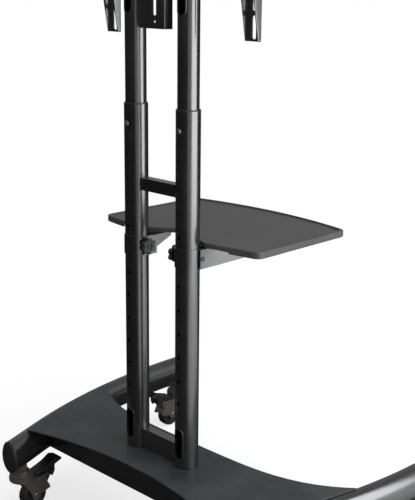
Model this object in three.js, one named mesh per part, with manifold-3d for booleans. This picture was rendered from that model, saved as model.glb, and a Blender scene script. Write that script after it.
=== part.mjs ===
import * as THREE from 'three';
import { mergeVertices } from 'three/addons/utils/BufferGeometryUtils.js';
import Module from 'manifold-3d';

// Mobile television stand: two telescopic columns on a wide plate between two bent tube legs,
// with a clamped shelf, a pair of slotted television arms and four braked casters.
// Lengths are millimetres. x runs along the line of the columns, y points to the side that the
// screen faces, and z is the height above the floor. The columns' line is y = 0 while the pieces
// are drawn, and the whole stand is centred on its footprint at the end.

// Fits and cuts
const seat_gap = 0.3;
const overrun = 3;
const weld_distance = 1e-3;

// Casters
const wheel_diameter = 64;
const wheel_width = 24;
const wheel_side_gap = 1.2;
const wheel_hood_gap = 2;
const caster_height = 112;
const caster_trail = 30;
const caster_end_distance = 40;
const axle_diameter = 8;
const axle_head_diameter = 14;
const axle_head_thickness = 2.2;
const fork_wall = 3.8;
const fork_hood_thickness = 6;
const fork_boss_radius = 11;
const fork_front_u = -11;
const fork_knee_u = 14;
const fork_knee_z = 45;
const fork_rear_angle = 40 * Math.PI / 180;
const head_diameter = 55;
const head_thickness = 14;
const head_top_z = 90;
const stem_diameter = 28;
const stem_flange_diameter = 52;
const stem_flange_thickness = 6;
const stem_cup_diameter = 40;
const stem_cup_height = 7;
const king_pin_diameter = 10;
const king_pin_depth = 18;

// Brake pedals
const pedal_width = 32;
const pedal_thickness = 4.5;
const pedal_tongue_width = 22;
const pedal_pivot_u = 61;
const pedal_pivot_z = 70;
const pedal_pin_diameter = 6;
const pedal_lug_radius = 8;
const pedal_front_u = 30.5;
const pedal_front_z = 85;
const pedal_heel_u = 67;
const pedal_heel_z = 97;
const pedal_crest_u = 88;
const pedal_crest_z = 109;
const pedal_toe_u = 104;
const pedal_toe_z = 104;
const pedal_cheek_gap = 2;
const pedal_cheek_depth = 13;
const pedal_cheek_bottom_z = 66;

// Legs, oval tubes that are taller than they are wide
const leg_width = 50;
const leg_height = 75;
const leg_wall = 2;
const leg_front_x = 416;
const leg_bend_front_y = 405;
const leg_bend_radius = 1400;
const leg_bend_angle = 21 * Math.PI / 180;
const leg_rear_straight = 113;
const leg_front_straight = 75;
const leg_cap_dome = 5;
const leg_cap_lip = 0.5;
const leg_cap_rim = 2.5;
const leg_cap_plug_depth = 14;
const leg_cut_past = 15;

// Base plate and the beam under it
const plate_thickness = 3;
const plate_side_inset = 3;
const plate_far_y = 87;
const plate_far_corner_y = 178;
const plate_near_y = -88;
const plate_near_corner_y = -138;
const beam_width = 134;
const beam_height = 66.5;
const beam_wall = 3;

// Columns
const column_diameter = 50;
const column_wall = 1.6;
const column_length = 756.5;
const column_spacing = 154.5;
const column_hole_diameter = 8;
const column_hole_pitch = 50.8;
const column_first_hole_drop = 102.4;
const column_last_hole_clearance = 50;
const screw_drop = 40;
const screw_diameter = 7;
const screw_head_diameter = 11;
const screw_head_height = 3;
const screw_socket_width = 4;
const screw_socket_depth = 2;
const bush_length = 30;
const bush_flange_thickness = 1.5;
const crossbar_depth = 22;
const crossbar_wall = 1.5;
const upper_crossbar_height = 26;
const upper_crossbar_drop = 151;
const lower_crossbar_height = 45;

// Cable slots and their grommets
const slot_width = 26;
const slot_height = 72;
const slot_rim = 1.3;
const slot_lip = 3;
const grommet_proud = 1.5;
const grommet_depth = 2;
const lower_slot_rise = 19;
const upper_slot_rise = 178.5;

// Sliding upper columns
const inner_diameter = 44;
const inner_wall = 1.5;
const inner_length = 660;
const inner_engagement = 240;
const top_cap_dome = 4;
const top_cap_plug_depth = 12;

// Television mount
const arm_spacing = 400;
const arm_bottom_rise = 136;
const arm_width = 35;
const arm_sheet = 2;
const arm_face_y = 53;
const arm_end_depth = 9.5;
const arm_full_depth = 28;
const arm_taper_length = 111;
const arm_slot_count = 8;
const arm_slot_length = 44;
const arm_slot_width = 9;
const arm_slot_bridge = 7.5;
const arm_end_margin = 4;
const arm_notch_half_height = 40;
const arm_notch_depth = 11;
const rail_length = 640;
const rail_height = 50;
const rail_depth = 12;
const rail_sheet = 2.5;
const carrier_width = 30;
const carrier_sheet = 2.5;
const carrier_tab = 10;
const carrier_ear_radius = 6.5;
const tilt_pivot_setback = 9;
const tilt_bolt_diameter = 6;
const tilt_nut_diameter = 11;
const tilt_nut_thickness = 4;
const strap_thickness = 2;
const strap_height = 40;
const strap_length = 190;

// Slotted bracket between the columns
const bracket_sheet = 2;
const bracket_web_width = 73;
const bracket_width = 79;
const bracket_chamfer_depth = 10;
const bracket_depth = 20.5;
const bracket_bottom_rise = 153.5;
const bracket_flange_top_gap = 7;
const bracket_slot_width = 8;
const bracket_slot_x = 9;
const bracket_slot_rise = 25;
const bracket_slot_length = 125;
const bracket_hole_diameter = 5;
const bracket_hole_rise = 13.5;

// Shelf
const tray_near_width = 465;
const tray_far_width = 456;
const tray_near_y = 23;
const tray_near_corner_y = 43.5;
const tray_near_low_x = 100;
const tray_far_y = 350;
const tray_far_corner_y = 322;
const tray_notch_y = 68;
const tray_notch_width = 62;
const tray_notch_mouth_width = 150;
const tray_notch_mouth_y = 34;
const tray_corner_radius = 20;
const tray_drop = 90;
const tray_height = 14.5;
const tray_rim_width = 6;
const tray_rim_height = 3;
const tray_sheet = 3;
const tray_skirt = 4;
const tray_short_skirt_width = 320;
const tray_short_skirt_cut = 4;
const clamp_height = 40;
const clamp_wall = 1.5;
const clamp_top_drop = 10;
const clamp_leg_y = 20;
const clamp_bolt_diameter = 6;
const clamp_rivet_diameter = 5;
const clamp_rivet_head_diameter = 9;
const clamp_rivet_head_height = 2;
const clamp_rivet_y = 11;
const support_sheet = 2.5;
const support_outer_reach = 29.75;
const support_outer_near_y = 5;
const support_inner_near_y = -6;
const support_back_gap = 3;
const support_bend_y = 49;
const support_splay = 18 * Math.PI / 180;
const support_length = 210;
const support_bottom_drop = 51.1;
const support_rise_share = 0.147;
const support_flange_width = 18;
const gusset_near_y = 24;
const gusset_near_drop = 37.1;
const gusset_far_y = 72;
const gusset_far_drop = 19.1;

// Star knobs
const clamp_knob_diameter = 36;
const tilt_knob_diameter = 32;
const knob_lobe_height = 2.4;
const knob_lobe_count = 6;
const knob_grip_thickness = 10;
const knob_hub_diameter = 18;
const tilt_hub_thickness = 4;
const clamp_hub_thickness = 1;

// Facets round each kind of curve
const fine_facets = 24;
const tube_facets = 20;
const small_facets = 8;
const leg_steps = 12;
const edge_steps = 10;
const dome_steps = 3;
const knob_facets = 36;

// Places worked out from the sizes above
const leg_axis_z = caster_height + leg_height / 2;
const leg_bend_rear_y = leg_bend_front_y - leg_bend_radius * Math.sin(leg_bend_angle);
const leg_bend_rear_x = leg_front_x - leg_bend_radius * (1 - Math.cos(leg_bend_angle));
const leg_rear_y = leg_bend_rear_y - leg_rear_straight * Math.cos(leg_bend_angle);
const leg_front_y = leg_bend_front_y + leg_front_straight;
const leg_bend_length = leg_bend_radius * leg_bend_angle;
const leg_length = leg_rear_straight + leg_bend_length + leg_front_straight;
const plate_bottom_z = caster_height + leg_height + seat_gap;
const plate_top_z = plate_bottom_z + plate_thickness;
const column_bottom_z = plate_top_z + seat_gap;
const rim_z = column_bottom_z + column_length;
const upper_crossbar_z = rim_z - upper_crossbar_drop - upper_crossbar_height;
const column_radius = column_diameter / 2;
const column_x = column_spacing / 2;
const inner_radius = inner_diameter / 2;
const inner_bottom_z = rim_z - inner_engagement;
const inner_top_z = inner_bottom_z + inner_length;
const arm_length = arm_slot_count * arm_slot_length + (arm_slot_count - 1) * arm_slot_bridge
  + 2 * arm_end_margin;
const arm_bottom_z = rim_z + arm_bottom_rise;
const mount_z = arm_bottom_z + arm_length / 2;
const rail_back_y = inner_radius + seat_gap;
const rail_front_y = rail_back_y + rail_depth;
const carrier_face_y = rail_front_y + seat_gap + carrier_sheet;
const tilt_pivot_y = arm_face_y - tilt_pivot_setback;
const wheel_radius = wheel_diameter / 2;
const fork_half_width = wheel_width / 2 + wheel_side_gap + fork_wall;

const stand = new THREE.Group();
const wasm = await Module();
wasm.setup();

const finishes = {
  powder: { color: 0x232326, roughness: 0.42, metalness: 0.15 },
  textured_powder: { color: 0x2a2a2c, roughness: 0.6, metalness: 0.1 },
  tray_powder: { color: 0x3a3a3c, roughness: 0.55, metalness: 0.1 },
  moulding: { color: 0x111112, roughness: 0.5, metalness: 0 },
  caster_moulding: { color: 0x1c1a18, roughness: 0.45, metalness: 0 },
  tyre: { color: 0x141414, roughness: 0.75, metalness: 0 },
  plated_steel: { color: 0x8d8f92, roughness: 0.35, metalness: 0.9 },
};

function material(finish) {
  return new THREE.MeshStandardMaterial(finishes[finish]);
}

// Closed solids from three.js geometry, and back again

function solid(geometry, matrix) {
  const plain = geometry.clone();
  plain.deleteAttribute('normal');
  plain.deleteAttribute('uv');
  if (matrix) plain.applyMatrix4(matrix);
  const merged = mergeVertices(plain, weld_distance);
  const corners = merged.index.array;
  const kept = [];
  for (let i = 0; i < corners.length; i += 3) {
    const [a, b, c] = [corners[i], corners[i + 1], corners[i + 2]];
    if (a !== b && b !== c && c !== a) kept.push(a, b, c);
  }
  return new wasm.Manifold(new wasm.Mesh({
    numProp: 3,
    vertProperties: Float32Array.from(merged.attributes.position.array),
    triVerts: Uint32Array.from(kept),
  }));
}

function joined(first, ...others) {
  return others.reduce((sum, other) => sum.add(other), first);
}

function cut(body, ...tools) {
  return tools.reduce((rest, tool) => rest.subtract(tool), body);
}

function add(name, body, finish, parent = stand) {
  const { vertProperties, triVerts } = body.getMesh();
  const geometry = new THREE.BufferGeometry();
  geometry.setAttribute('position', new THREE.BufferAttribute(vertProperties, 3));
  geometry.setIndex(new THREE.BufferAttribute(triVerts, 1));
  geometry.computeVertexNormals();
  const mesh = new THREE.Mesh(geometry, material(finish));
  mesh.name = name;
  parent.add(mesh);
  return mesh;
}

// Outlines

function polygon(points) {
  return new THREE.Shape(points.map(([a, b]) => new THREE.Vector2(a, b)));
}

function rectangle(a0, a1, b0, b1) {
  return polygon([[a0, b0], [a1, b0], [a1, b1], [a0, b1]]);
}

function disc(a, b, radius) {
  return new THREE.Shape().absarc(a, b, radius, 0, 2 * Math.PI);
}

function ring(outer, inner) {
  const shape = disc(0, 0, outer);
  shape.holes.push(new THREE.Path().absarc(0, 0, inner, 0, 2 * Math.PI, true));
  return shape;
}

function stadium(a, b, width, height) {
  const radius = width / 2;
  const reach = height / 2 - radius;
  return new THREE.Shape()
    .absarc(a, b + reach, radius, 0, Math.PI)
    .absarc(a, b - reach, radius, Math.PI, 2 * Math.PI);
}

function roundedPolygon(corners) {
  const shape = new THREE.Shape();
  corners.forEach(([a, b, radius], i) => {
    const here = new THREE.Vector2(a, b);
    const before = new THREE.Vector2(...corners.at(i - 1).slice(0, 2)).sub(here);
    const after = new THREE.Vector2(...corners[(i + 1) % corners.length].slice(0, 2)).sub(here);
    const bend = Math.abs(before.angle() - after.angle());
    const half = Math.min(bend, 2 * Math.PI - bend) / 2;
    const reach = radius / Math.tan(half);
    const start = before.setLength(reach).add(here);
    const end = after.setLength(reach).add(here);
    if (i === 0) shape.moveTo(start.x, start.y);
    else shape.lineTo(start.x, start.y);
    if (radius > 0) shape.quadraticCurveTo(here.x, here.y, end.x, end.y);
  });
  shape.closePath();
  return shape;
}

// Prisms along each axis, and turned pieces

const unit_x = new THREE.Vector3(1, 0, 0);
const unit_y = new THREE.Vector3(0, 1, 0);
const unit_z = new THREE.Vector3(0, 0, 1);
const back_y = new THREE.Vector3(0, -1, 0);

function prism(shape, length, basis, origin, facets) {
  const geometry = new THREE.ExtrudeGeometry(shape, {
    depth: length, bevelEnabled: false, curveSegments: facets / 2,
  });
  return solid(geometry, new THREE.Matrix4().makeBasis(...basis).setPosition(origin));
}

// the outline is given in (y, z)
function prismX(shape, from, to, facets = tube_facets) {
  const origin = new THREE.Vector3(from, 0, 0);
  return prism(shape, to - from, [unit_y, unit_z, unit_x], origin, facets);
}

// the outline is given in (x, z)
function prismY(shape, from, to, facets = tube_facets) {
  const origin = new THREE.Vector3(0, to, 0);
  return prism(shape, to - from, [unit_x, unit_z, back_y], origin, facets);
}

// the outline is given in (x, y)
function prismZ(shape, from, to, facets = tube_facets) {
  const origin = new THREE.Vector3(0, 0, from);
  return prism(shape, to - from, [unit_x, unit_y, unit_z], origin, facets);
}

// the profile is given in (radius, height along the axis)
function turned(profile, axis, origin, facets = tube_facets) {
  const points = profile.map(([radius, height]) => new THREE.Vector2(radius, height));
  const turn = new THREE.Matrix4().makeRotationFromQuaternion(
    new THREE.Quaternion().setFromUnitVectors(unit_y, axis));
  return solid(new THREE.LatheGeometry(points, facets), turn.setPosition(origin));
}

function box(x0, x1, y0, y1, z0, z1) {
  return prismZ(rectangle(x0, x1, y0, y1), z0, z1);
}

// Legs: a straight rear end, a long gentle bend and a straight front end

function legX(y) {
  if (y >= leg_bend_front_y) return leg_front_x;
  if (y >= leg_bend_rear_y) {
    const drop = leg_bend_front_y - y;
    return leg_front_x - leg_bend_radius + Math.sqrt(leg_bend_radius ** 2 - drop ** 2);
  }
  return leg_bend_rear_x - (leg_bend_rear_y - y) * Math.tan(leg_bend_angle);
}

class LegLine extends THREE.Curve {
  constructor(side, past) {
    super();
    this.side = side;
    this.past = past;
  }

  getPoint(t, target = new THREE.Vector3()) {
    const s = t * (leg_length + 2 * this.past) - this.past;
    if (s < leg_rear_straight) {
      const back = leg_rear_straight - s;
      target.set(leg_bend_rear_x - back * Math.sin(leg_bend_angle),
        leg_bend_rear_y - back * Math.cos(leg_bend_angle), leg_axis_z);
    } else if (s < leg_rear_straight + leg_bend_length) {
      const turn = leg_bend_angle - (s - leg_rear_straight) / leg_bend_radius;
      target.set(leg_front_x - leg_bend_radius * (1 - Math.cos(turn)),
        leg_bend_front_y - leg_bend_radius * Math.sin(turn), leg_axis_z);
    } else {
      target.set(leg_front_x, leg_bend_front_y + s - leg_rear_straight - leg_bend_length, leg_axis_z);
    }
    target.x *= this.side;
    return target;
  }
}

// the leg's section: the first half-size is the height's, because the sweep lays it upright
function legOval(shrink) {
  const half_height = leg_height / 2 - shrink;
  const half_width = leg_width / 2 - shrink;
  return new THREE.Shape().absellipse(0, 0, half_height, half_width, 0, 2 * Math.PI);
}

// a sweep along the leg's line, cut square to the stand at both ends
function legSweep(side, shape, from_y = leg_rear_y, to_y = leg_front_y) {
  const sweep = solid(new THREE.ExtrudeGeometry(shape, {
    steps: leg_steps, curveSegments: tube_facets / 2, extrudePath: new LegLine(side, leg_cut_past),
  }));
  const reach = 2 * leg_front_x;
  return sweep.intersect(box(-reach, reach, from_y, to_y, 0, plate_bottom_z + overrun));
}

function legRoom(side) {
  return legSweep(side, legOval(-seat_gap));
}

// a domed oval cap on an end face, with a plug inside the tube
function legCap(side, end_y, outward, half_width) {
  const rim = leg_height / 2 + leg_cap_lip;
  const dome = [];
  for (let i = 0; i <= dome_steps; i += 1) {
    const angle = (i / dome_steps) * Math.PI / 2;
    dome.push([rim * Math.sin(angle), leg_cap_rim + leg_cap_dome * Math.cos(angle)]);
  }
  dome[0][0] = 0;
  const axis = new THREE.Vector3(0, outward, 0);
  const round = turned([...dome, [rim, seat_gap], [0, seat_gap]].reverse(), axis, new THREE.Vector3());
  const disc_y = end_y + outward * leg_cap_rim / 2;
  const deep_y = end_y - outward * leg_cap_plug_depth;
  const plug = legSweep(side, legOval(leg_wall + seat_gap),
    Math.min(disc_y, deep_y), Math.max(disc_y, deep_y));
  return round.scale([(half_width + leg_cap_lip) / rim, 1, 1])
    .translate([side * legX(end_y), end_y, leg_axis_z]).add(plug);
}

function addLeg(side, word) {
  const tube = legOval(0);
  tube.holes.push(new THREE.Path(legOval(leg_wall).getPoints(tube_facets / 2).reverse()));
  add(`${word}_leg`, legSweep(side, tube), 'powder');
  const half = leg_width / 2;
  const rear = legCap(side, leg_rear_y, -1, half / Math.cos(leg_bend_angle));
  add(`${word}_leg_rear_cap`, rear, 'moulding');
  add(`${word}_leg_front_cap`, legCap(side, leg_front_y, 1, half), 'moulding');
}

// Base plate: a bow tie whose sides follow the crests of the legs

function plateOutline() {
  const sideX = (y) => legX(y) - plate_side_inset;
  const far_half = sideX(plate_far_corner_y);
  const near_half = sideX(plate_near_corner_y);
  const far_flare = 4;
  const near_flare = 2;
  const points = [];
  for (let i = -edge_steps; i <= edge_steps; i += 1) {
    const share = i / edge_steps;
    const lift = (plate_near_corner_y - plate_near_y) * Math.abs(share) ** near_flare;
    points.push([share * near_half, plate_near_y + lift]);
  }
  for (let i = 1; i < edge_steps; i += 1) {
    const y = plate_near_corner_y + (plate_far_corner_y - plate_near_corner_y) * i / edge_steps;
    points.push([sideX(y), y]);
  }
  for (let i = edge_steps; i >= -edge_steps; i -= 1) {
    const share = i / edge_steps;
    const lift = (plate_far_corner_y - plate_far_y) * Math.abs(share) ** far_flare;
    points.push([share * far_half, plate_far_y + lift]);
  }
  for (let i = edge_steps - 1; i > 0; i -= 1) {
    const y = plate_near_corner_y + (plate_far_corner_y - plate_near_corner_y) * i / edge_steps;
    points.push([-sideX(y), y]);
  }
  return polygon(points);
}

function addBase() {
  add('base_plate', prismZ(plateOutline(), plate_bottom_z, plate_top_z), 'textured_powder');
  const half = beam_width / 2;
  const top = plate_bottom_z - seat_gap;
  const bottom = top - beam_height;
  const inside = half - beam_wall;
  const outline = polygon([
    [-legX(-half), -half], [legX(-half), -half], [legX(half), half], [-legX(half), half],
  ]);
  const hollow = box(-2 * leg_front_x, 2 * leg_front_x, -inside, inside,
    bottom - overrun, top - beam_wall);
  const beam = cut(prismZ(outline, bottom, top), hollow, legRoom(1), legRoom(-1));
  add('base_beam', beam, 'powder');
}

// Columns

function columnTube(side, outer, wall, from, to) {
  const tube = prismZ(ring(outer, outer - wall), from, to, fine_facets);
  return tube.translate([side * column_x, 0, 0]);
}

function columnRoom(side, radius, from, to) {
  return prismZ(disc(side * column_x, 0, radius), from, to, fine_facets);
}

function slotRoom(side, z, shrink, radius) {
  const outline = stadium(side * column_x, z, slot_width - 2 * shrink, slot_height - 2 * shrink);
  return prismY(outline, -radius - 2 * overrun, 0, small_facets);
}

function grommet(side, z, radius, wall) {
  const from = z - slot_height;
  const to = z + slot_height;
  const proud = columnRoom(side, radius + grommet_proud, from, to);
  const skin = cut(proud, columnRoom(side, radius + seat_gap, from, to));
  const deep = cut(proud, columnRoom(side, radius - wall - grommet_depth, from, to));
  const flange = skin.intersect(slotRoom(side, z, 0, radius));
  const neck = deep.intersect(slotRoom(side, z, slot_rim + seat_gap, radius));
  return cut(joined(flange, neck), slotRoom(side, z, slot_lip, radius));
}

const lower_slot_z = column_bottom_z + lower_slot_rise + slot_height / 2;
const column_hole_span = column_length - column_first_hole_drop - column_last_hole_clearance
  - lower_slot_rise - slot_height;
const column_hole_count = Math.floor(column_hole_span / column_hole_pitch) + 1;
const upper_slot_z = rim_z + upper_slot_rise + slot_height / 2;
const screw_z = rim_z - screw_drop;

function roundHole(side, z, diameter, depth) {
  return prismY(disc(side * column_x, z, diameter / 2), -depth, 0, small_facets);
}

function addOuterColumn(side, word) {
  let tube = columnTube(side, column_radius, column_wall, column_bottom_z, rim_z);
  tube = cut(tube, slotRoom(side, lower_slot_z, slot_rim, column_radius));
  for (let i = 0; i < column_hole_count; i += 1) {
    const z = rim_z - column_first_hole_drop - i * column_hole_pitch;
    tube = cut(tube, roundHole(side, z, column_hole_diameter, column_diameter));
  }
  tube = cut(tube, roundHole(side, screw_z, screw_diameter + 2 * seat_gap, column_diameter));
  add(`${word}_outer_column`, tube, 'powder');
  add(`${word}_lower_grommet`, grommet(side, lower_slot_z, column_radius, column_wall), 'moulding');

  const socket = prismY(disc(side * column_x, screw_z, screw_socket_width / 2),
    -column_diameter, screw_socket_depth - column_radius - screw_head_height, small_facets);
  const shank = prismY(disc(side * column_x, screw_z, screw_diameter / 2),
    -column_radius - seat_gap - overrun / 2, -inner_radius - seat_gap, small_facets);
  const head = prismY(disc(side * column_x, screw_z, screw_head_diameter / 2),
    -column_radius - screw_head_height, -column_radius - seat_gap, small_facets);
  add(`${word}_height_screw`, cut(joined(head, shank), socket), 'plated_steel');

  const bore = inner_radius + seat_gap;
  const sleeve = column_radius - column_wall - seat_gap;
  const bush = turned([
    [bore, rim_z - bush_length], [sleeve, rim_z - bush_length], [sleeve, rim_z + seat_gap],
    [column_radius, rim_z + seat_gap], [column_radius, rim_z + seat_gap + bush_flange_thickness],
    [bore, rim_z + seat_gap + bush_flange_thickness], [bore, rim_z - bush_length],
  ], unit_z, new THREE.Vector3(side * column_x, 0, 0), fine_facets);
  add(`${word}_column_bush`, bush, 'moulding');
}

function crossbar(bottom, height) {
  const half = crossbar_depth / 2;
  const hollow = half - crossbar_wall;
  const bar = box(-column_x, column_x, -half, half, bottom, bottom + height);
  const inside = box(-column_spacing, column_spacing, -hollow, hollow,
    bottom + crossbar_wall, bottom + height - crossbar_wall);
  const rooms = [1, -1].map((side) => columnRoom(side, column_radius + seat_gap,
    bottom - overrun, bottom + height + overrun));
  return cut(bar, inside, ...rooms);
}

function addInnerColumn(side, word) {
  let tube = columnTube(side, inner_radius, inner_wall, inner_bottom_z, inner_top_z);
  tube = cut(tube, slotRoom(side, upper_slot_z, slot_rim, inner_radius));
  add(`${word}_inner_column`, tube, 'powder');
  add(`${word}_upper_grommet`, grommet(side, upper_slot_z, inner_radius, inner_wall), 'moulding');

  const plug = inner_radius - inner_wall - seat_gap;
  const top = inner_top_z + seat_gap;
  const dome = [];
  for (let i = 0; i <= dome_steps; i += 1) {
    const angle = (i / dome_steps) * Math.PI / 2;
    dome.push([inner_radius * Math.cos(angle), top + bush_flange_thickness
      + top_cap_dome * Math.sin(angle)]);
  }
  dome.at(-1)[0] = 0;
  const cap = turned([
    [0, top - top_cap_plug_depth], [plug, top - top_cap_plug_depth], [plug, top],
    [inner_radius, top], ...dome,
  ], unit_z, new THREE.Vector3(side * column_x, 0, 0));
  add(`${word}_column_cap`, cap, 'moulding');
}

// Star knobs with a bolt along their axis

function starOutline(a, b, diameter) {
  const middle = diameter / 2 - knob_lobe_height / 2;
  const points = [];
  for (let i = 0; i < knob_facets; i += 1) {
    const angle = 2 * Math.PI * i / knob_facets;
    const radius = middle + knob_lobe_height / 2 * Math.cos(knob_lobe_count * angle);
    points.push([a + radius * Math.cos(angle), b + radius * Math.sin(angle)]);
  }
  return polygon(points);
}

// Television mount: rail, strap, slotted bracket, carriers and arms

function addMountFrame() {
  const half = rail_height / 2;
  const rail = polygon([
    [rail_back_y, mount_z - half], [rail_front_y, mount_z - half],
    [rail_front_y, mount_z - half + rail_sheet], [rail_back_y + rail_sheet, mount_z - half + rail_sheet],
    [rail_back_y + rail_sheet, mount_z + half - rail_sheet], [rail_front_y, mount_z + half - rail_sheet],
    [rail_front_y, mount_z + half], [rail_back_y, mount_z + half],
  ]);
  add('mount_rail', prismX(rail, -rail_length / 2, rail_length / 2), 'powder');

  const strap_back_y = -inner_radius - seat_gap - strap_thickness;
  add('rear_strap', box(-strap_length / 2, strap_length / 2, strap_back_y, strap_back_y + strap_thickness,
    mount_z - strap_height / 2, mount_z + strap_height / 2), 'powder');

  const back = strap_back_y - seat_gap - bracket_sheet;
  const front = back + bracket_depth;
  const web = bracket_web_width / 2;
  const side = bracket_width / 2;
  const bottom = rim_z + bracket_bottom_rise;
  const flange_top = mount_z - strap_height / 2 - bracket_flange_top_gap;
  const top = mount_z + strap_height / 2;
  const outside = (t) => [
    [-web + t, back + t], [web - t, back + t], [side - t, back + bracket_chamfer_depth],
    [side - t, front], [-side + t, front], [-side + t, back + bracket_chamfer_depth],
  ];
  const channel = cut(
    prismZ(polygon(outside(0)), bottom, flange_top),
    prismZ(polygon(outside(bracket_sheet)), bottom - overrun, flange_top + overrun),
    box(-side, side, front - bracket_sheet / 2, front + overrun, bottom - overrun, flange_top + overrun));
  const tab = box(-web, web, back, back + bracket_sheet, bottom, top);
  const slot = prismY(stadium(bracket_slot_x, bottom + bracket_slot_rise + bracket_slot_length / 2,
    bracket_slot_width, bracket_slot_length), back - overrun, back + overrun, small_facets);
  const hole = prismY(disc(bracket_slot_x, bottom + bracket_hole_rise, bracket_hole_diameter / 2),
    back - overrun, back + overrun, small_facets);
  add('centre_bracket', cut(joined(channel, tab), slot, hole), 'powder');
}

function carrier(x) {
  const back = rail_back_y - seat_gap - carrier_sheet;
  const gap = seat_gap;
  const low = mount_z - rail_height / 2 - gap;
  const high = mount_z + rail_height / 2 + gap;
  const wrap = polygon([
    [back, low - carrier_sheet], [carrier_face_y, low - carrier_sheet],
    [carrier_face_y, high + carrier_sheet], [back, high + carrier_sheet],
    [back, high - carrier_tab], [rail_back_y - gap, high - carrier_tab], [rail_back_y - gap, high],
    [rail_front_y + gap, high], [rail_front_y + gap, low], [rail_back_y - gap, low],
    [rail_back_y - gap, low + carrier_tab], [back, low + carrier_tab],
  ]);
  const half = carrier_width / 2;
  const ear = new THREE.Shape()
    .moveTo(carrier_face_y - carrier_sheet / 2, mount_z - carrier_ear_radius)
    .absarc(tilt_pivot_y, mount_z, carrier_ear_radius, -Math.PI / 2, Math.PI / 2)
    .lineTo(carrier_face_y - carrier_sheet / 2, mount_z + carrier_ear_radius);
  ear.closePath();
  const body = joined(
    prismX(wrap, x - half, x + half),
    prismX(ear, x - half, x - half + carrier_sheet, small_facets),
    prismX(ear, x + half - carrier_sheet, x + half, small_facets));
  const bore = disc(tilt_pivot_y, mount_z, tilt_bolt_diameter / 2 + seat_gap);
  return cut(body, prismX(bore, x - carrier_width, x + carrier_width, small_facets));
}

function televisionArm(x) {
  const half = arm_width / 2;
  const top = arm_bottom_z + arm_length;
  const edge = arm_face_y - arm_full_depth;
  const flank = polygon([
    [arm_face_y, arm_bottom_z], [arm_face_y, top], [arm_face_y - arm_end_depth, top],
    [edge, top - arm_taper_length], [edge, mount_z + arm_notch_half_height],
    [arm_face_y - arm_notch_depth, mount_z + arm_notch_half_height],
    [arm_face_y - arm_notch_depth, mount_z - arm_notch_half_height],
    [edge, mount_z - arm_notch_half_height], [edge, arm_bottom_z + arm_taper_length],
    [arm_face_y - arm_end_depth, arm_bottom_z],
  ]);
  let body = prismX(flank, x - half, x + half);
  body = cut(body, box(x - half + arm_sheet, x + half - arm_sheet, edge - overrun,
    arm_face_y - arm_sheet, arm_bottom_z - overrun, top + overrun));
  for (let i = 0; i < arm_slot_count; i += 1) {
    const z = arm_bottom_z + arm_end_margin + arm_slot_length / 2
      + i * (arm_slot_length + arm_slot_bridge);
    body = cut(body, prismY(stadium(x, z, arm_slot_width, arm_slot_length),
      arm_face_y - arm_sheet - overrun, arm_face_y + overrun, small_facets / 2));
  }
  const bore = disc(tilt_pivot_y, mount_z, tilt_bolt_diameter / 2 + seat_gap);
  return cut(body, prismX(bore, x - arm_width, x + arm_width, small_facets));
}

function tiltKnob(side, x) {
  const face = arm_width / 2 + seat_gap;
  const span = (from, to) => (side > 0 ? [x + from, x + to] : [x - to, x - from]);
  const bolt = disc(tilt_pivot_y, mount_z, tilt_bolt_diameter / 2);
  const nut = disc(tilt_pivot_y, mount_z, tilt_nut_diameter / 2);
  const hub = disc(tilt_pivot_y, mount_z, knob_hub_diameter / 2);
  const reach = face + tilt_hub_thickness;
  return joined(
    prismX(starOutline(tilt_pivot_y, mount_z, tilt_knob_diameter),
      ...span(reach, reach + knob_grip_thickness)),
    prismX(hub, ...span(face, reach + knob_grip_thickness / 2), small_facets),
    prismX(bolt, ...span(-face - tilt_nut_thickness / 2, reach), small_facets),
    prismX(nut, ...span(-face - tilt_nut_thickness, -face), small_facets / 2));
}

function addTelevisionArm(side, word) {
  const x = side * arm_spacing / 2;
  add(`${word}_tilt_carrier`, carrier(x), 'powder');
  add(`${word}_tv_arm`, televisionArm(x), 'powder');
  add(`${word}_tilt_knob`, tiltKnob(side, x), 'moulding');
}

// Shelf: tray, splayed supports, split clamps and their knobs

const tray_top_z = upper_crossbar_z - tray_drop;
const tray_bottom_z = tray_top_z - tray_height;
const clamp_top_z = tray_top_z - clamp_top_drop;
const clamp_bottom_z = clamp_top_z - clamp_height;
const clamp_z = clamp_top_z - clamp_height / 2;
const clamp_radius = column_radius + seat_gap + clamp_wall;

// the far edge is bowed outward
function trayOutline(inset) {
  const near_half = tray_near_width / 2 - inset;
  const far_half = tray_far_width / 2 - inset;
  const near = tray_near_y + inset;
  const notch = tray_notch_width / 2 + inset;
  const mouth = tray_notch_mouth_width / 2 + inset;
  const round = tray_corner_radius - inset;
  const soft = round / 2;
  const bow = tray_far_y - tray_far_corner_y;
  const farEdge = (share) => [share * far_half, tray_far_y - inset - bow * share ** 2];
  const points = [
    [-near_half, tray_near_corner_y + inset, round], [-tray_near_low_x, near, soft],
    [-mouth, tray_notch_mouth_y + inset, soft], [-notch, tray_notch_y + inset, soft],
    [notch, tray_notch_y + inset, soft], [mouth, tray_notch_mouth_y + inset, soft],
    [tray_near_low_x, near, soft], [near_half, tray_near_corner_y + inset, round],
    [...farEdge(1), round],
  ];
  for (let i = edge_steps / 2 - 1; i > -edge_steps / 2; i -= 1) {
    points.push([...farEdge(2 * i / edge_steps), 0]);
  }
  points.push([...farEdge(-1), round]);
  return roundedPolygon(points);
}

function tray() {
  const sheet_z = tray_top_z - tray_rim_height - tray_sheet;
  return cut(
    prismZ(trayOutline(0), tray_bottom_z, tray_top_z, small_facets),
    prismZ(trayOutline(tray_rim_width), tray_top_z - tray_rim_height, tray_top_z + overrun, small_facets),
    prismZ(trayOutline(tray_skirt), tray_bottom_z - overrun, sheet_z, small_facets),
    box(-tray_short_skirt_width / 2, tray_short_skirt_width / 2, 0, tray_notch_y + 2 * tray_skirt,
      tray_bottom_z - overrun, tray_bottom_z + tray_short_skirt_cut));
}

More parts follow.
